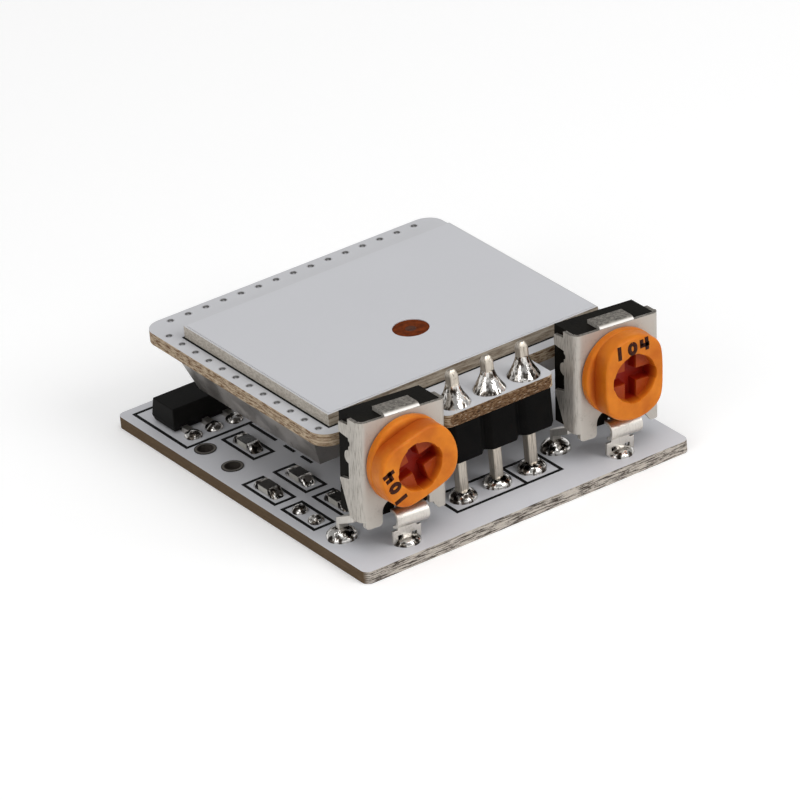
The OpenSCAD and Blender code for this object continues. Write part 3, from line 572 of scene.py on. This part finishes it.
# Up-facing faces are painted dark and speckled: partly handling marks, partly painted dark
# reflection of the dim room.
dulled_and_dark_reflection = ramp(tree, grains, (0.40, (0.06, 0.053, 0.045)), (0.60, (0.27, 0.25, 0.22)))
on_tab = ramp(tree, facing(tree, 2), (0.75, 0.0), (0.97, 0.85))
rough = calc(tree, "MULTIPLY_ADD", effect.outputs[1], 0.5, 0.22)
sheet = mixed(tree, on_tab, effect.outputs[0], dulled_and_dark_reflection)
# Painted highlight: faces between up and front, on the tab's bend, turn pale.
bend_highlight = ramp(tree, facing(tree, 2), (0.22, 0.0), (0.50, 0.9), (0.72, 0.9), (0.88, 0.0))
finish(tree, grains, 0.3, 0.012, Base_Color=mixed(tree, bend_highlight, sheet, (0.84, 0.82, 0.79)),
       Metallic=0.6, Roughness=rough, Specular_IOR_Level=0.3)

# An open hole's ring is tin out to 0.62 mm from the hole's middle, and black beyond. Within
# half a millimetre, at the hole's wall, it fades to near black as painted shade in the hole.
ring_metal, tree = fresh("dark tin ring")
out_from_hole = nearest(tree, light_places + supply_places)
tone = ramp(tree, out_from_hole, (0.50, (0.05, 0.045, 0.04)), (0.55, (0.20, 0.18, 0.155)),
            (0.62, (0.20, 0.18, 0.155)), (0.66, (0.012, 0.011, 0.010)))
finish(tree, Base_Color=tone, Metallic=ramp(tree, out_from_hole, (0.62, 0.6), (0.66, 0.0)),
       Roughness=0.45)
dress(ring_metal, "base_pads")
print("metals:", [m.name for m in (tin_plate, pin_metal, can_metal_with_painted_shade, solder_metal, cover_tin,
                                   gold_contact, ring_metal)])

# %% [markdown]
# **Plastics and ceramics.** Black mouldings reflect very little, so their form only shows if
# the skin has a fine grain and the edges are rounded enough to catch light. Chip ends,
# ceramic bodies and the carbon track are simple but get the same care.

# %% Plastic and ceramic finishes
def moulded_finish(name, dark, light, rough, grain, bump, gloss=0.2):
    """Two tones, mixed by a fine grain and a wide cloud; the grain is also the relief."""
    material, tree = fresh(name)
    skin = noise(tree, place_mm(tree), grain, 3)
    wide = noise(tree, place_mm(tree), 0.8, 2)
    both = weighed(tree, skin, 0.5, wide, 0.5)
    finish(tree, skin, bump, 0.015, Base_Color=ramp(tree, both, (0.35, dark), (0.65, light)),
           Roughness=ramp(tree, both, (0.3, rough), (0.7, rough + 0.14)), Specular_IOR_Level=gloss)
    return material


header_black = moulded_finish("header black", (0.004, 0.004, 0.004), (0.008, 0.0075, 0.007),
                              0.45, 12.0, 0.35, 0.02)
trimmer_black = moulded_finish("trimmer black", (0.004, 0.0036, 0.003), (0.011, 0.010, 0.008),
                               0.38, 9.0, 0.8, 0.02)
chip_black = moulded_finish("chip black", (0.004, 0.0038, 0.0035), (0.009, 0.0085, 0.008),
                            0.55, 16.0, 0.5, 0.10)
coat_black = moulded_finish("resistor coat", (0.003, 0.003, 0.003), (0.034, 0.031, 0.027),
                            0.15, 5.0, 0.9, 0.5)
ceramic_white = moulded_finish("white ceramic", (0.45, 0.43, 0.39), (0.62, 0.60, 0.55),
                               0.5, 8.0, 0.2, 0.4)
ceramic_tan = moulded_finish("tan ceramic", (0.26, 0.17, 0.09), (0.38, 0.26, 0.15),
                             0.4, 8.0, 0.2, 0.4)
carbon = moulded_finish("carbon track", (0.010, 0.009, 0.009), (0.022, 0.02, 0.019),
                        0.6, 14.0, 0.4)
dress(chip_black, "rf_chip")
dress(carbon, "left_track", "right_track")
print("plastics and ceramics ready")

# %% [markdown]
# ** Orange knob plastic** lets a little light in, and its face is a warm orange. Its recess and
# the back of its flattened sides get painted shade, a deep dark red. The shape functions
# below store how deep each point lies in the knob's recess, and how far back on the flattened
# sides; the painted shade follows that stored depth.

# %% Knob plastic finish
knob_plastic, tree = fresh("orange knob plastic")
depth = add(tree, "Attribute", attribute_name="hollow").outputs["Fac"]
skin = noise(tree, place_mm(tree), 7.0, 3)
wide = noise(tree, place_mm(tree), 0.7, 3)
face_tone = ramp(tree, wide, (0.32, (0.55, 0.135, 0.006)), (0.68, (0.72, 0.215, 0.012)))
# Painted shade: the deeper a point lies, the more its orange turns to dark red.
sunk = ramp(tree, depth, (0.0, 0.0), (0.30, 0.55), (0.80, 1.0))
tone = mixed(tree, sunk, face_tone, (0.25, 0.008, 0.001))
finish(tree, skin, 0.25, 0.03, Base_Color=tone, Specular_IOR_Level=0.2,
       Roughness=ramp(tree, skin, (0.3, 0.36), (0.7, 0.50)), Subsurface_Weight=0.18,
       Subsurface_Scale=0.0006, Subsurface_Radius=(1.0, 0.25, 0.06))
print("knob plastic ready")

# %% [markdown]
# **Surfaces from grids.** Every new piece is one or more grids of points: one index runs
# along a profile, the other goes round or across. `build` turns grids into one mesh, closes
# each pole by merging its points, makes the faces point outwards and keeps hard edges hard.

# %% Mesh helper
# Points closer than this, in metres, are one: the first for grids, the second for CAD copies.
SAME_POINT, SAME_CAD_POINT = 1e-7, 2e-6


def build(name, grids, material, body, replaces=(), hard=38, wrap=True, extra=None):
    """Mesh of grids of points [row, column, xyz] in millimetres. Neighbouring rows and
    columns make quads; with wrap, each grid's last column joins its first. Edges over `hard`
    degrees stay sharp, and extra is a name and one value per point for the material."""
    corners, quads, start = [], [], 0
    for points in grids:
        rows, columns = points.shape[:2]
        i, j = np.meshgrid(np.arange(rows - 1), np.arange(columns - (not wrap)), indexing="ij")
        k = (j + 1) % columns
        quads.append(start + np.stack([i * columns + j, i * columns + k, (i + 1) * columns + k,
                                       (i + 1) * columns + j], -1).reshape(-1, 4))
        corners.append(points.reshape(-1, 3))
        start += rows * columns
    mesh = bpy.data.meshes.new(name)
    mesh.from_pydata((np.concatenate(corners) * MM).tolist(), [], np.concatenate(quads).tolist())
    if extra is not None:
        attribute, values = extra
        layer = mesh.attributes.new(attribute, "FLOAT", "POINT")
        layer.data.foreach_set("value", values.ravel().astype(np.float32))
    shape = bmesh.new()
    shape.from_mesh(mesh)
    bmesh.ops.remove_doubles(shape, verts=shape.verts, dist=SAME_POINT)
    bmesh.ops.recalc_face_normals(shape, faces=shape.faces)
    shape.to_mesh(mesh)
    shape.free()
    mesh.shade_smooth()
    mesh.set_sharp_from_angle(angle=math.radians(hard))
    mesh.materials.append(material)
    piece = bpy.data.objects.new(name, mesh)
    bpy.context.scene.collection.objects.link(piece)
    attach(piece, body)
    if replaces:
        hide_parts(*replaces)
    print(name, "has", len(mesh.polygons), "faces")
    return piece


# %% [markdown]
# **Softened copies.** A CAD solid has perfectly sharp edges, which never catch light. Where
# its shape is right but a moulded or bent edge should be round, a copy of its mesh is welded,
# its flat faces are joined again, and a narrow bevel goes along every real edge.


def soften(node, material, width, segments=2, angle=28):
    """Copy of a CAD node with welded points and edges rounded by a width in millimetres."""
    mesh = frame["nodes"][node].data.copy()
    mesh.name = node + "_soft"
    shape = bmesh.new()
    shape.from_mesh(mesh)
    bmesh.ops.remove_doubles(shape, verts=shape.verts, dist=SAME_CAD_POINT)
    bmesh.ops.dissolve_limit(shape, angle_limit=math.radians(2), verts=shape.verts,
                             edges=shape.edges)
    bmesh.ops.recalc_face_normals(shape, faces=shape.faces)
    shape.to_mesh(mesh)
    shape.free()
    mesh.shade_smooth()
    mesh.set_sharp_from_angle(angle=math.radians(angle))
    mesh.materials.clear()
    mesh.materials.append(material)
    piece = bpy.data.objects.new(node + "_soft", mesh)
    bpy.context.scene.collection.objects.link(piece)
    bevel = piece.modifiers.new("edge", "BEVEL")
    bevel.width, bevel.segments = width * MM, segments
    bevel.limit_method, bevel.angle_limit = "ANGLE", math.radians(angle)
    bevel.use_clamp_overlap = True
    bevel.harden_normals = True
    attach(piece, "module")
    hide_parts(node)
    return piece


for node, material, width in [
        ("header_block", header_black, 0.10), ("regulator_body", chip_black, 0.08),
        ("controller_body", chip_black, 0.08), ("regulator_leads", tin_plate, 0.04),
        ("controller_leads", tin_plate, 0.03), ("resistor_bodies", ceramic_white, 0.02),
        ("resistor_coats", coat_black, 0.03), ("resistor_caps", solder_metal, 0.05),
        ("capacitor_bodies", ceramic_tan, 0.04), ("capacitor_caps", solder_metal, 0.06)]:
    soften(node, material, width)
for side in ("left_", "right_"):
    soften(side + "trimmer_body", trimmer_black, 0.09)
    soften(side + "trimmer_cover", cover_tin, 0.035)
    soften(side + "wiper_terminal", tin_plate, 0.04)
    soften(side + "end_terminals", tin_plate, 0.04)
print("softened copies made")

# %% [markdown]
# **The knobs** are what a person turns, so they get the most careful shape: a round flange, a
# short head with two finger flats and a soft rim, and in its face a round recess with a cross
# slot for a screwdriver. The whole rotor is one surface. Its rows are rings, each with a
# radius and a depth; the head's rings are flattened on two sides, and on the face the depth
# also depends on the angle, because the cross is not round.

# %% Knob shape
def smooth_step(value, width):
    """0 below zero, 1 above the width, and an S-shaped curve between them."""
    t = np.clip(value / width, 0, 1)
    return t * t * (3 - 2 * t)


# Radii of the flange, neck, inner disc and head, and how far its flats are from the axis.
KNOB_R, NECK_R, DISC_R, HEAD_BACK, HEAD_FRONT, FLAT = 2.75, 1.7, 2.3, 2.72, 2.56, 2.12
# The flange's thickness, the round recess, and half the width and the depth of a cross arm.
FLANGE, RECESS_R, RECESS_DEPTH, ARM_HALF, ARM_DEPTH = 0.6, 1.52, 0.50, 0.42, 0.68
# The cover's sheet lies between disc and flange, with a gap before the flange. The face is a
# hair behind the CAD's, and the rim bends round a radius.
SHEET, GAP, FACE_BACK, RIM_BEND = 0.3, 0.06, 0.01, 0.16
# How strongly painted shade darkens the flats per millimetre back, and the depth at which the
# recess's painted shade is full.
FLANK_SHADE, FULL_SHADE_DEPTH = 0.42, 0.9
RING_POINTS, FACE_ROWS, CORNER_POWER = 320, 90, 10.0


def softened_outline(angle, radius, flat):
    """Radius of a circle with two flats at a distance to either side. The two limits are
    joined by a power mean, so the four corners are round."""
    to_flat = flat / np.maximum(np.abs(np.cos(angle)), 1e-3)
    return (radius ** -CORNER_POWER + to_flat ** -CORNER_POWER) ** (-1 / CORNER_POWER)


def knob_grid(centre, length, disc_back, turn):
    """Rotor as rows of rings from its inner disc to the middle of its face. A row is a radius
    and a depth. The head's rows are circles with two flats. On the face the depth grows by the
    round recess and, where a cross's arms lie, by the deeper slot. Plain numbers under 0.25
    in a row are the widths of its small roundings."""
    angle = np.linspace(0, 2 * np.pi, RING_POINTS, endpoint=False)
    round_rows = np.array([
        [0, -disc_back], [DISC_R, -disc_back], [DISC_R, -SHEET], [NECK_R, -SHEET], [NECK_R, GAP],
        [KNOB_R - 0.12, GAP], [KNOB_R - 0.03, 0.09], [KNOB_R, 0.17], [KNOB_R, FLANGE - 0.14],
        [KNOB_R - 0.02, FLANGE - 0.05], [KNOB_R - 0.08, FLANGE]])
    rings = [np.full_like(angle, r) for r, _ in round_rows]
    depths = list(round_rows[:, 1])
    for step in np.linspace(0, 1, 5):
        rings.append(softened_outline(angle, HEAD_BACK, FLAT + 0.05 - 0.05 * min(1, step * 3)))
        depths.append(FLANGE + 0.01 + step * (length - FLANGE - 0.22))
    for bend in np.linspace(0, np.pi / 2, 9):
        inwards = RIM_BEND * (1 - np.cos(bend))
        rings.append(softened_outline(angle, HEAD_FRONT + 0.14 - inwards, FLAT - inwards))
        depths.append(length - FACE_BACK - RIM_BEND + RIM_BEND * np.sin(bend))
    edge, inner = rings[-1], RECESS_R + 0.13
    for step in np.linspace(0, 1, 8)[1:]:
        rings.append(edge + (inner - edge) * step)
        depths.append(length - FACE_BACK)
    for r in np.linspace(inner, 0, FACE_ROWS)[1:]:
        rings.append(np.full_like(angle, r))
        depths.append(length - FACE_BACK)
    r, along = np.array(rings), np.array(depths)[:, None]
    u, v = r * np.cos(angle), r * np.sin(angle)
    far = np.hypot(u, v)
    recess = smooth_step(RECESS_R + 0.02 - far, 0.10)
    arm = np.maximum(smooth_step(ARM_HALF - np.abs(u), 0.07),
                     smooth_step(ARM_HALF - np.abs(v), 0.07))
    within = smooth_step(RECESS_R + 0.08 - far, 0.12)
    on_face = (np.arange(len(r)) >= len(r) - FACE_ROWS)[:, None]
    sunk = (RECESS_DEPTH * recess + ARM_DEPTH * arm * within) * on_face
    depth = along - sunk
    x = u * np.cos(turn) - v * np.sin(turn)
    z = u * np.sin(turn) + v * np.cos(turn)
    points = np.stack([centre[0] + x, centre[1] - depth, centre[2] + z], -1)
    # The second value returned is painted shade: it grows with the recess's depth, and on the flats
    # the further back they lie.
    on_head = (along > FLANGE) & (along < length - 0.03)
    flank = FLANK_SHADE * np.cos(angle) ** 2 * on_head * (length - along)
    return points, np.clip(sunk / FULL_SHADE_DEPTH + flank, 0, 1)


# A joint's range is 120 degrees to each side of digits up, so it tells how far a knob is
# turned. Both trimmers lean by the angle from their feet to their knobs' axes.
HALF_SWING = 120
board_top = box_mm("base_board")[1][2]
knob_centre, TURN = {}, {}
for joint in frame["record"]["behaviour"]["joints"]:
    side = joint["name"].split("_")[0]
    lo, hi = box_mm(side + "_knob")
    plate_y = box_mm(side + "_trimmer_cover")[0][1]
    centre = np.array([(lo[0] + hi[0]) / 2, plate_y, (lo[2] + hi[2]) / 2])
    lean = math.atan2(centre[0] - trimmer_x[side], centre[2] - board_top)
    TURN[side] = math.radians(-HALF_SWING - joint["range_deg"][0]) - lean
    knob_centre[side] = (centre, plate_y - lo[1])
    points, hollow = knob_grid(centre, plate_y - lo[1], hi[1] - plate_y, TURN[side])
    build(side + "_knob_head", [points], knob_plastic, side + "_rotor",
          [side + "_knob"], hard=50, extra=("hollow", hollow))
    print(side, "knob stands at", round(math.degrees(TURN[side]), 1), "degrees, lean",
          round(math.degrees(lean), 2))

# %% [markdown]
# **Printed digits.** The knob's face carries a plain resistance code in dark ink. A digit is
# a ribbon: a path of points with a constant width, thickened by a hair so that it is a solid.
# The row of digits stands above the recess and is a little askew, as stamped ones are.

# %% Knob digits
def ribbon(path, width):
    """Two rows beside a path, half a width to each side along the path's own normal."""
    path = np.asarray(path, float)
    along = np.gradient(path, axis=0)
    along /= np.linalg.norm(along, axis=1, keepdims=True)
    across = np.stack([-along[:, 1], along[:, 0]], -1) * width / 2
    return np.stack([path + across, path - across], 1)


def digit_paths():
    """Centre lines of the digits 1, 0 and 4, each with its place along the row."""
    ring = np.linspace(0, 2 * np.pi, 25)
    zero = np.stack([0.22 * np.sin(ring), 0.31 * np.cos(ring)], -1)
    one = np.array([[0, 0.45], [0, 0.0], [0, -0.45]])
    four = [np.array([[0.15, 0.42], [0.15, 0], [0.15, -0.42]]),
            np.array([[-0.22, 0.36], [-0.22, 0.15], [-0.22, -0.06]]),
            np.array([[-0.35, -0.06], [0.0, -0.06], [0.32, -0.06]])]
    return [(-0.95, [one]), (0.0, [zero]), (0.90, four)]


ROW_HEIGHT, STROKE, ROW_TILT = 2.02, 0.27, math.radians(5)
INK_THICK, INK_BACK = 0.014, 0.008
for side, (centre, reach) in knob_centre.items():
    turn = TURN[side] + ROW_TILT
    grids = []
    for shift, paths in digit_paths():
        for path in paths:
            flat = ribbon(path + [shift, ROW_HEIGHT], STROKE)
            x = flat[..., 0] * np.cos(turn) - flat[..., 1] * np.sin(turn)
            z = flat[..., 0] * np.sin(turn) + flat[..., 1] * np.cos(turn)
            y = np.full_like(x, centre[1] - reach + INK_BACK)
            grids.append(np.stack([centre[0] + x, y, centre[2] + z], -1))
    digits = build(side + "_knob_digits", grids, digit_ink, side + "_rotor",
                   wrap=False)
    thick = digits.modifiers.new("ink", "SOLIDIFY")
    thick.thickness, thick.offset = INK_THICK * MM, 0

# %% [markdown]
# **Solder** wets a pin and its ring, so a joint is a surface of revolution that is hollow at
# the flank where it climbs a pin, and domed where it only fills a hole. No two are alike: a
# few slow waves round the joint push its radius and height in and out. Each joint also fills
# its drilled hole, as the CAD solid does.

# %% Solder joints
HOLE_R, HOLE_FILL, LIFT = 0.49, 0.8, 0.03
JOINT_POINTS, JOINT_ROWS = 64, 30
RADIUS_SWING, HEIGHT_SWING, DOME_RISE = 0.06, 0.05, 0.55


def joint_grid(x, y, foot, radius, height, collar, power, seed, fill=HOLE_FILL):
    """Rings from the hole's bottom to the tip. Above the board the radius falls from the foot
    to the collar as (1 - t) to a power: over 1 gives a hollow flank, under 1 a dome."""
    rng = np.random.default_rng(seed)
    angle = np.linspace(0, 2 * np.pi, JOINT_POINTS, endpoint=False)
    waves = sum(rng.uniform(0.3, 1) * np.cos(k * angle + rng.uniform(0, 6.3)) / k
                for k in (1, 2, 3, 5))
    waves /= np.abs(waves).max()
    t = np.linspace(0, 1, JOINT_ROWS)[:, None]
    r = collar + (radius - collar) * (1 - t) ** power * (1 + RADIUS_SWING * waves * (1 - t))
    rise = t ** (1.0 if power > 1 else DOME_RISE)
    z = foot + LIFT + (height - LIFT) * rise * (1 + HEIGHT_SWING * waves * t)
    middle, bore = np.zeros((1, JOINT_POINTS)), np.full((2, JOINT_POINTS), HOLE_R)
    bottom, level = np.full_like(bore, foot - fill), np.full_like(bore, foot)
    flank = np.minimum(r, radius)
    rows_r = np.concatenate([middle, bore, flank[:1], flank, middle])
    rows_z = np.concatenate([bottom, level, z, z[-1:]])
    return np.stack([x + rows_r * np.cos(angle), y + rows_r * np.sin(angle), rows_z], -1)


def joints(places, foot, radius, height, collar, power, seed, fill=HOLE_FILL):
    """A joint at each place, all alike but for their waves."""
    return [joint_grid(x, y, foot, radius, height, collar, power, seed + i, fill)
            for i, (x, y) in enumerate(places)]


radar_top = box_mm("rf_board")[1][2]
build("pin_cones", joints(pin_places, radar_top, 1.04, 1.30, 0.42, 1.45, seed=7),
      solder_metal, "module", ["header_solder_top"])
build("pin_beads", joints(pin_places, board_top, 0.91, 0.58, 0.36, 0.62, seed=17),
      solder_metal, "module", ["header_solder_base"])
build("trimmer_joints", joints(end_places, board_top, 0.98, 0.68, 0.10, 0.58, seed=40)
      + joints(wiper_places, board_top, 0.88, 0.48, 0.10, 0.58, seed=50),
      solder_metal, "module", ["trimmer_solder"])
LEG_PITCH = 1.5
reg_x, reg_y = (sum(box_mm("regulator_solder")) / 2)[:2]
leg_places = [(reg_x + k * LEG_PITCH, reg_y) for k in (-1, 0, 1)]
build("regulator_joints", joints(leg_places, board_top, 0.58, 0.40, 0.05, 0.6, seed=59, fill=0.0),
      solder_metal, "module", ["regulator_solder"])

# %% [markdown]
# **Chip solder** is a lump against each end of a chip. Seen from the side it falls from the
# chip's top to the board in a full curve. That section is carried across the chip's width and
# drawn in to a point at both ends. Two small pads without a chip carry a plain bead each.

# %% Chip solder
SECTION_POINTS, LUMP, MOST_UP = 14, 0.10, 1.04


def fillet_grid(x, cap_y, outward, wide, reach, tall, seed):
    """Rows run across the chip, columns round the closed section. The section's height is
    (1 - t^1.6) to the power 0.8 of the full height at a share t of the reach outwards. A row
    is scaled by the root of (1 - v^4), where v runs from -1 to 1 across the chip. Lumps are a
    wave over v times a wave over t."""
    rng = np.random.default_rng(seed)
    v = np.linspace(-1, 1, 25)
    t = np.linspace(0, 1, SECTION_POINTS)
    section_out = np.concatenate([[0], t * reach])
    section_up = np.concatenate([[0], tall * (1 - t ** 1.6) ** 0.8])
    across = np.sin(3 * v + rng.uniform(0, 6))[:, None]
    lumps = 1 + LUMP * across * np.sin(3.1 * section_out / reach)
    size = np.sqrt(np.clip(1 - v ** 4, 0, 1))[:, None]
    px = np.repeat(x + v[:, None] * wide / 2, SECTION_POINTS + 1, 1)
    py = cap_y + outward * size * section_out * np.minimum(lumps, 1.0)
    pz = board_top + size * section_up * np.minimum(lumps, MOST_UP)
    return np.stack([px, py, pz], -1)


# Where the chips lie, then half a chip's length, and the width and height of its solder.
RESISTORS = [(-10.4, -1.15), (-8.15, -5.35), (-8.15, -1.15), (-8.15, 4.5)]
CAPACITORS = [(-4.575, 8.95), (4.95, 8.95), (5.775, -4.05), (5.775, -0.05)]
BARE_PADS = [(-10.4, -6.2), (-10.4, -4.5)]
RESISTOR_END, CAPACITOR_END, FILLET_REACH = (0.78, 0.92, 0.48), (0.98, 1.30, 0.76), 0.46
fillets = []
for places, (half_l, wide, tall) in ((RESISTORS, RESISTOR_END), (CAPACITORS, CAPACITOR_END)):
    for x, y in places:
        for outward in (-1, 1):
            fillets.append(fillet_grid(x, y + outward * half_l, outward, wide, FILLET_REACH,
                                       tall, seed=len(fillets)))
build("chip_fillets", fillets, solder_metal, "module", ["chip_solder"])
build("pad_beads", joints(BARE_PADS, board_top, 0.52, 0.37, 0.05, 0.55, seed=80, fill=0.0),
      solder_metal, "module")

# %% [markdown]
# **The tab's snapped edge.** The radar board was broken off its neighbour at the front tab, so
# this edge is torn: glass fibres stand out of dark resin. It is a strip over the cut side. Its
# front is a sum of random waves, long ones along the board and short ones through it, and it
# is drawn in to a point at both ends.

# %% Snapped edge
EDGE_ROWS, EDGE_COLUMNS, EDGE_WAVES = 420, 9, 12
STAND_OUT, TOOTH, EDGE_SUNK, TAPER = 0.015, 0.10, 0.02, 0.25


def torn_strip(middle_x, half_w, front_y, low, high, seed):
    """Rows run along the edge, columns round the closed section. The front stands out by
    STAND_OUT and up to a TOOTH more, from the sum of twelve waves with random length, phase
    and slant. Two columns behind the front lie inside the board."""
    rng = np.random.default_rng(seed)
    x = np.linspace(-half_w, half_w, EDGE_ROWS)[:, None]
    z = np.linspace(0, 1, EDGE_COLUMNS)
    relief = np.zeros((EDGE_ROWS, EDGE_COLUMNS))
    for _ in range(EDGE_WAVES):
        length = rng.uniform(0.12, 1.6)
        phase = 2 * np.pi * x / length + rng.uniform(0, 6.3) + rng.uniform(-5, 5) * z
        relief += np.sin(phase) * length ** 0.5
    relief = (relief - relief.min()) / (relief.max() - relief.min())
    arch = np.sin(np.pi * (0.08 + 0.84 * z))
    front = front_y - STAND_OUT - TOOTH * relief * arch
    size = np.clip((half_w - np.abs(x)) / TAPER, 0, 1) ** 0.5
    middle = (low + high) / 2
    tall = (high - low) / 2 - EDGE_SUNK
    py = np.concatenate([front, np.full((EDGE_ROWS, 2), front_y + EDGE_SUNK)], 1)
    pz = middle + tall * np.concatenate([2 * z - 1, [1, -1]])[None, :] * size
    py = front_y + (py - front_y) * size
    return np.stack([np.repeat(middle_x + x, EDGE_COLUMNS + 2, 1), py, pz], -1)


torn, tree = fresh("torn laminate")
threads = noise(tree, place_mm(tree, (1.4, 3.0, 5.0)), 2.2, 4, 0.7)
tone = ramp(tree, threads, (0.38, (0.035, 0.019, 0.010)), (0.50, (0.155, 0.082, 0.038)),
            (0.60, (0.24, 0.155, 0.085)), (0.70, (0.62, 0.55, 0.45)))
finish(tree, threads, 0.9, 0.10, Base_Color=tone, Roughness=0.9, Specular_IOR_Level=0.2)
radar_lo, radar_hi = box_mm("rf_board")
# Half the tab's width, and its rounded corner, which the strip leaves free.
TAB_HALF, TAB_CORNER = 3.95, 0.3
strip = torn_strip(stack_x, TAB_HALF - TAB_CORNER, radar_lo[1], radar_lo[2], radar_hi[2], seed=5)
build("snapped_edge", [strip], torn, "module", hard=60)

# %% [markdown]
# **Header pins** are drawn square wire: slightly rounded edges and a tip pinched to a blunt
# wedge. Each is a superellipse ring carried up the pin.

# %% Header pins
PIN_HALF, PIN_POINTS, SQUARENESS = 0.32, 48, 7
# A row of the tip: how far it lies below the end, and the shares of full width and depth.
TIP = np.array([[0.42, 1, 1], [0.36, 0.97, 0.95], [0.2, 0.86, 0.74], [0.06, 0.68, 0.50],
                [0.01, 0.52, 0.36], [0, 0, 0]])


def pin_grid(x, y, low, high):
    """Rings of a superellipse, 1 / (|cos|^n + |sin|^n)^(1/n), shrunk towards the tip."""
    angle = np.linspace(0, 2 * np.pi, PIN_POINTS, endpoint=False)
    c, s = np.cos(angle), np.sin(angle)
    ring = 1 / (np.abs(c) ** SQUARENESS + np.abs(s) ** SQUARENESS) ** (1 / SQUARENESS)
    heights = np.concatenate([[low, low], high - TIP[:, 0]])[:, None]
    wide = np.concatenate([[0, 1], TIP[:, 1]])[:, None]
    deep = np.concatenate([[0, 1], TIP[:, 2]])[:, None]
    px = x + PIN_HALF * wide * ring * c
    py = y + PIN_HALF * deep * ring * s
    return np.stack([px, py, np.repeat(heights, PIN_POINTS, 1)], -1)


build("square_pins", [pin_grid(x, y, pins_lo[2], pins_hi[2]) for x, y in pin_places],
      pin_metal, "module", ["header_pins"], hard=30)

# %% [markdown]
# **The floor** is a pale sweep that keeps the module's shadow. It glows a little, but only to
# the camera and to mirror and glass rays, so that the background is white and the module gets
# no light from below.

# %% Floor
def direct_view(tree):
    """1 for camera, mirror and glass rays, 0 for the rays that light other things."""
    rays = add(tree, "LightPath").outputs
    through = calc(tree, "MAXIMUM", rays["Is Glossy Ray"], rays["Is Transmission Ray"])
    return calc(tree, "MAXIMUM", rays["Is Camera Ray"], through)


FLOOR_HALF, FLOOR_BELOW, FLOOR_GLOW = 1.5, 2e-5, 0.21
sweep = bpy.data.meshes.new("floor")
sweep.from_pydata([(x * FLOOR_HALF, y * FLOOR_HALF, -FLOOR_BELOW)
                   for x, y in ((-1, -1), (1, -1), (1, 1), (-1, 1))], [], [(0, 1, 2, 3)])
floor = bpy.data.objects.new("floor", sweep)
bpy.context.scene.collection.objects.link(floor)
paper, tree = fresh("pale floor")
finish(tree, Base_Color=(0.90, 0.90, 0.90), Roughness=0.9, Emission_Color=(1, 1, 1),
       Emission_Strength=calc(tree, "MULTIPLY", direct_view(tree), FLOOR_GLOW))
sweep.materials.append(paper)
floor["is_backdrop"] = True
print("floor is", round(2 * FLOOR_HALF, 1), "m wide")

# %% [markdown]
# **The light** is that of a small studio: a wide lamp above, a key from the front right that
# brightens the trimmers' fronts, a weak fill from the left, and the room's own even light. The
# levels are set so that a grey surface renders about as it is written. The camera and the
# mirrors see a white backdrop near the floor and a dim room above it, which gives solder and
# tin their contrast.

# %% Lights
AIM_HEIGHT = 4 * MM


def softbox(name, azimuth, elevation, distance, size, share):
    """Square lamp aimed at the module. Share is how much of a white card's brightness it
    gives head on: watts = share * pi squared * distance squared."""
    lamp = bpy.data.lights.new(name, "AREA")
    lamp.shape, lamp.size = "SQUARE", size
    lamp.energy = share * math.pi ** 2 * distance ** 2
    holder = bpy.data.objects.new(name, lamp)
    a, e = math.radians(azimuth), math.radians(elevation)
    ray = np.array([math.sin(a) * math.cos(e), -math.cos(a) * math.cos(e), math.sin(e)])
    turned = Vector(ray).to_track_quat("Z", "Y").to_matrix().to_4x4()
    turned.translation = Vector(ray * distance + [0, 0, AIM_HEIGHT])
    holder.matrix_world = turned
    bpy.context.scene.collection.objects.link(holder)


softbox("top light", 10, 78, 0.45, 0.40, 0.40)
softbox("front key", 24, 36, 0.45, 0.22, 0.36)
softbox("left fill", -70, 28, 0.5, 0.25, 0.16)

ROOM_LIGHT = 0.34
world = bpy.data.worlds.new("room")
bpy.context.scene.world = world
world.use_nodes = True
tree = world.node_tree
tree.nodes.clear()
direction = add(tree, "TexCoord").outputs["Generated"]
upwards = add(tree, "SeparateXYZ", Vector=direction).outputs[2]
backdrop = ramp(tree, upwards, (0.0, 0.66), (0.16, 0.60), (0.34, 0.02), (1.0, 0.0))
shown = calc(tree, "MULTIPLY", direct_view(tree), backdrop)
strength = calc(tree, "ADD", shown, ROOM_LIGHT)
sky = add(tree, "Background", Color=(1, 1, 1), Strength=strength)
add(tree, "OutputWorld", Surface=sky.outputs[0])
print("lights set")

# %% [markdown]
# **Sizes.** The dressed module may not stand out of the measured one.

# %% Sizes
shown = [list(corner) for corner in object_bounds()]
print("visual box in mm:", np.round(np.array(shown) / MM, 3).tolist())
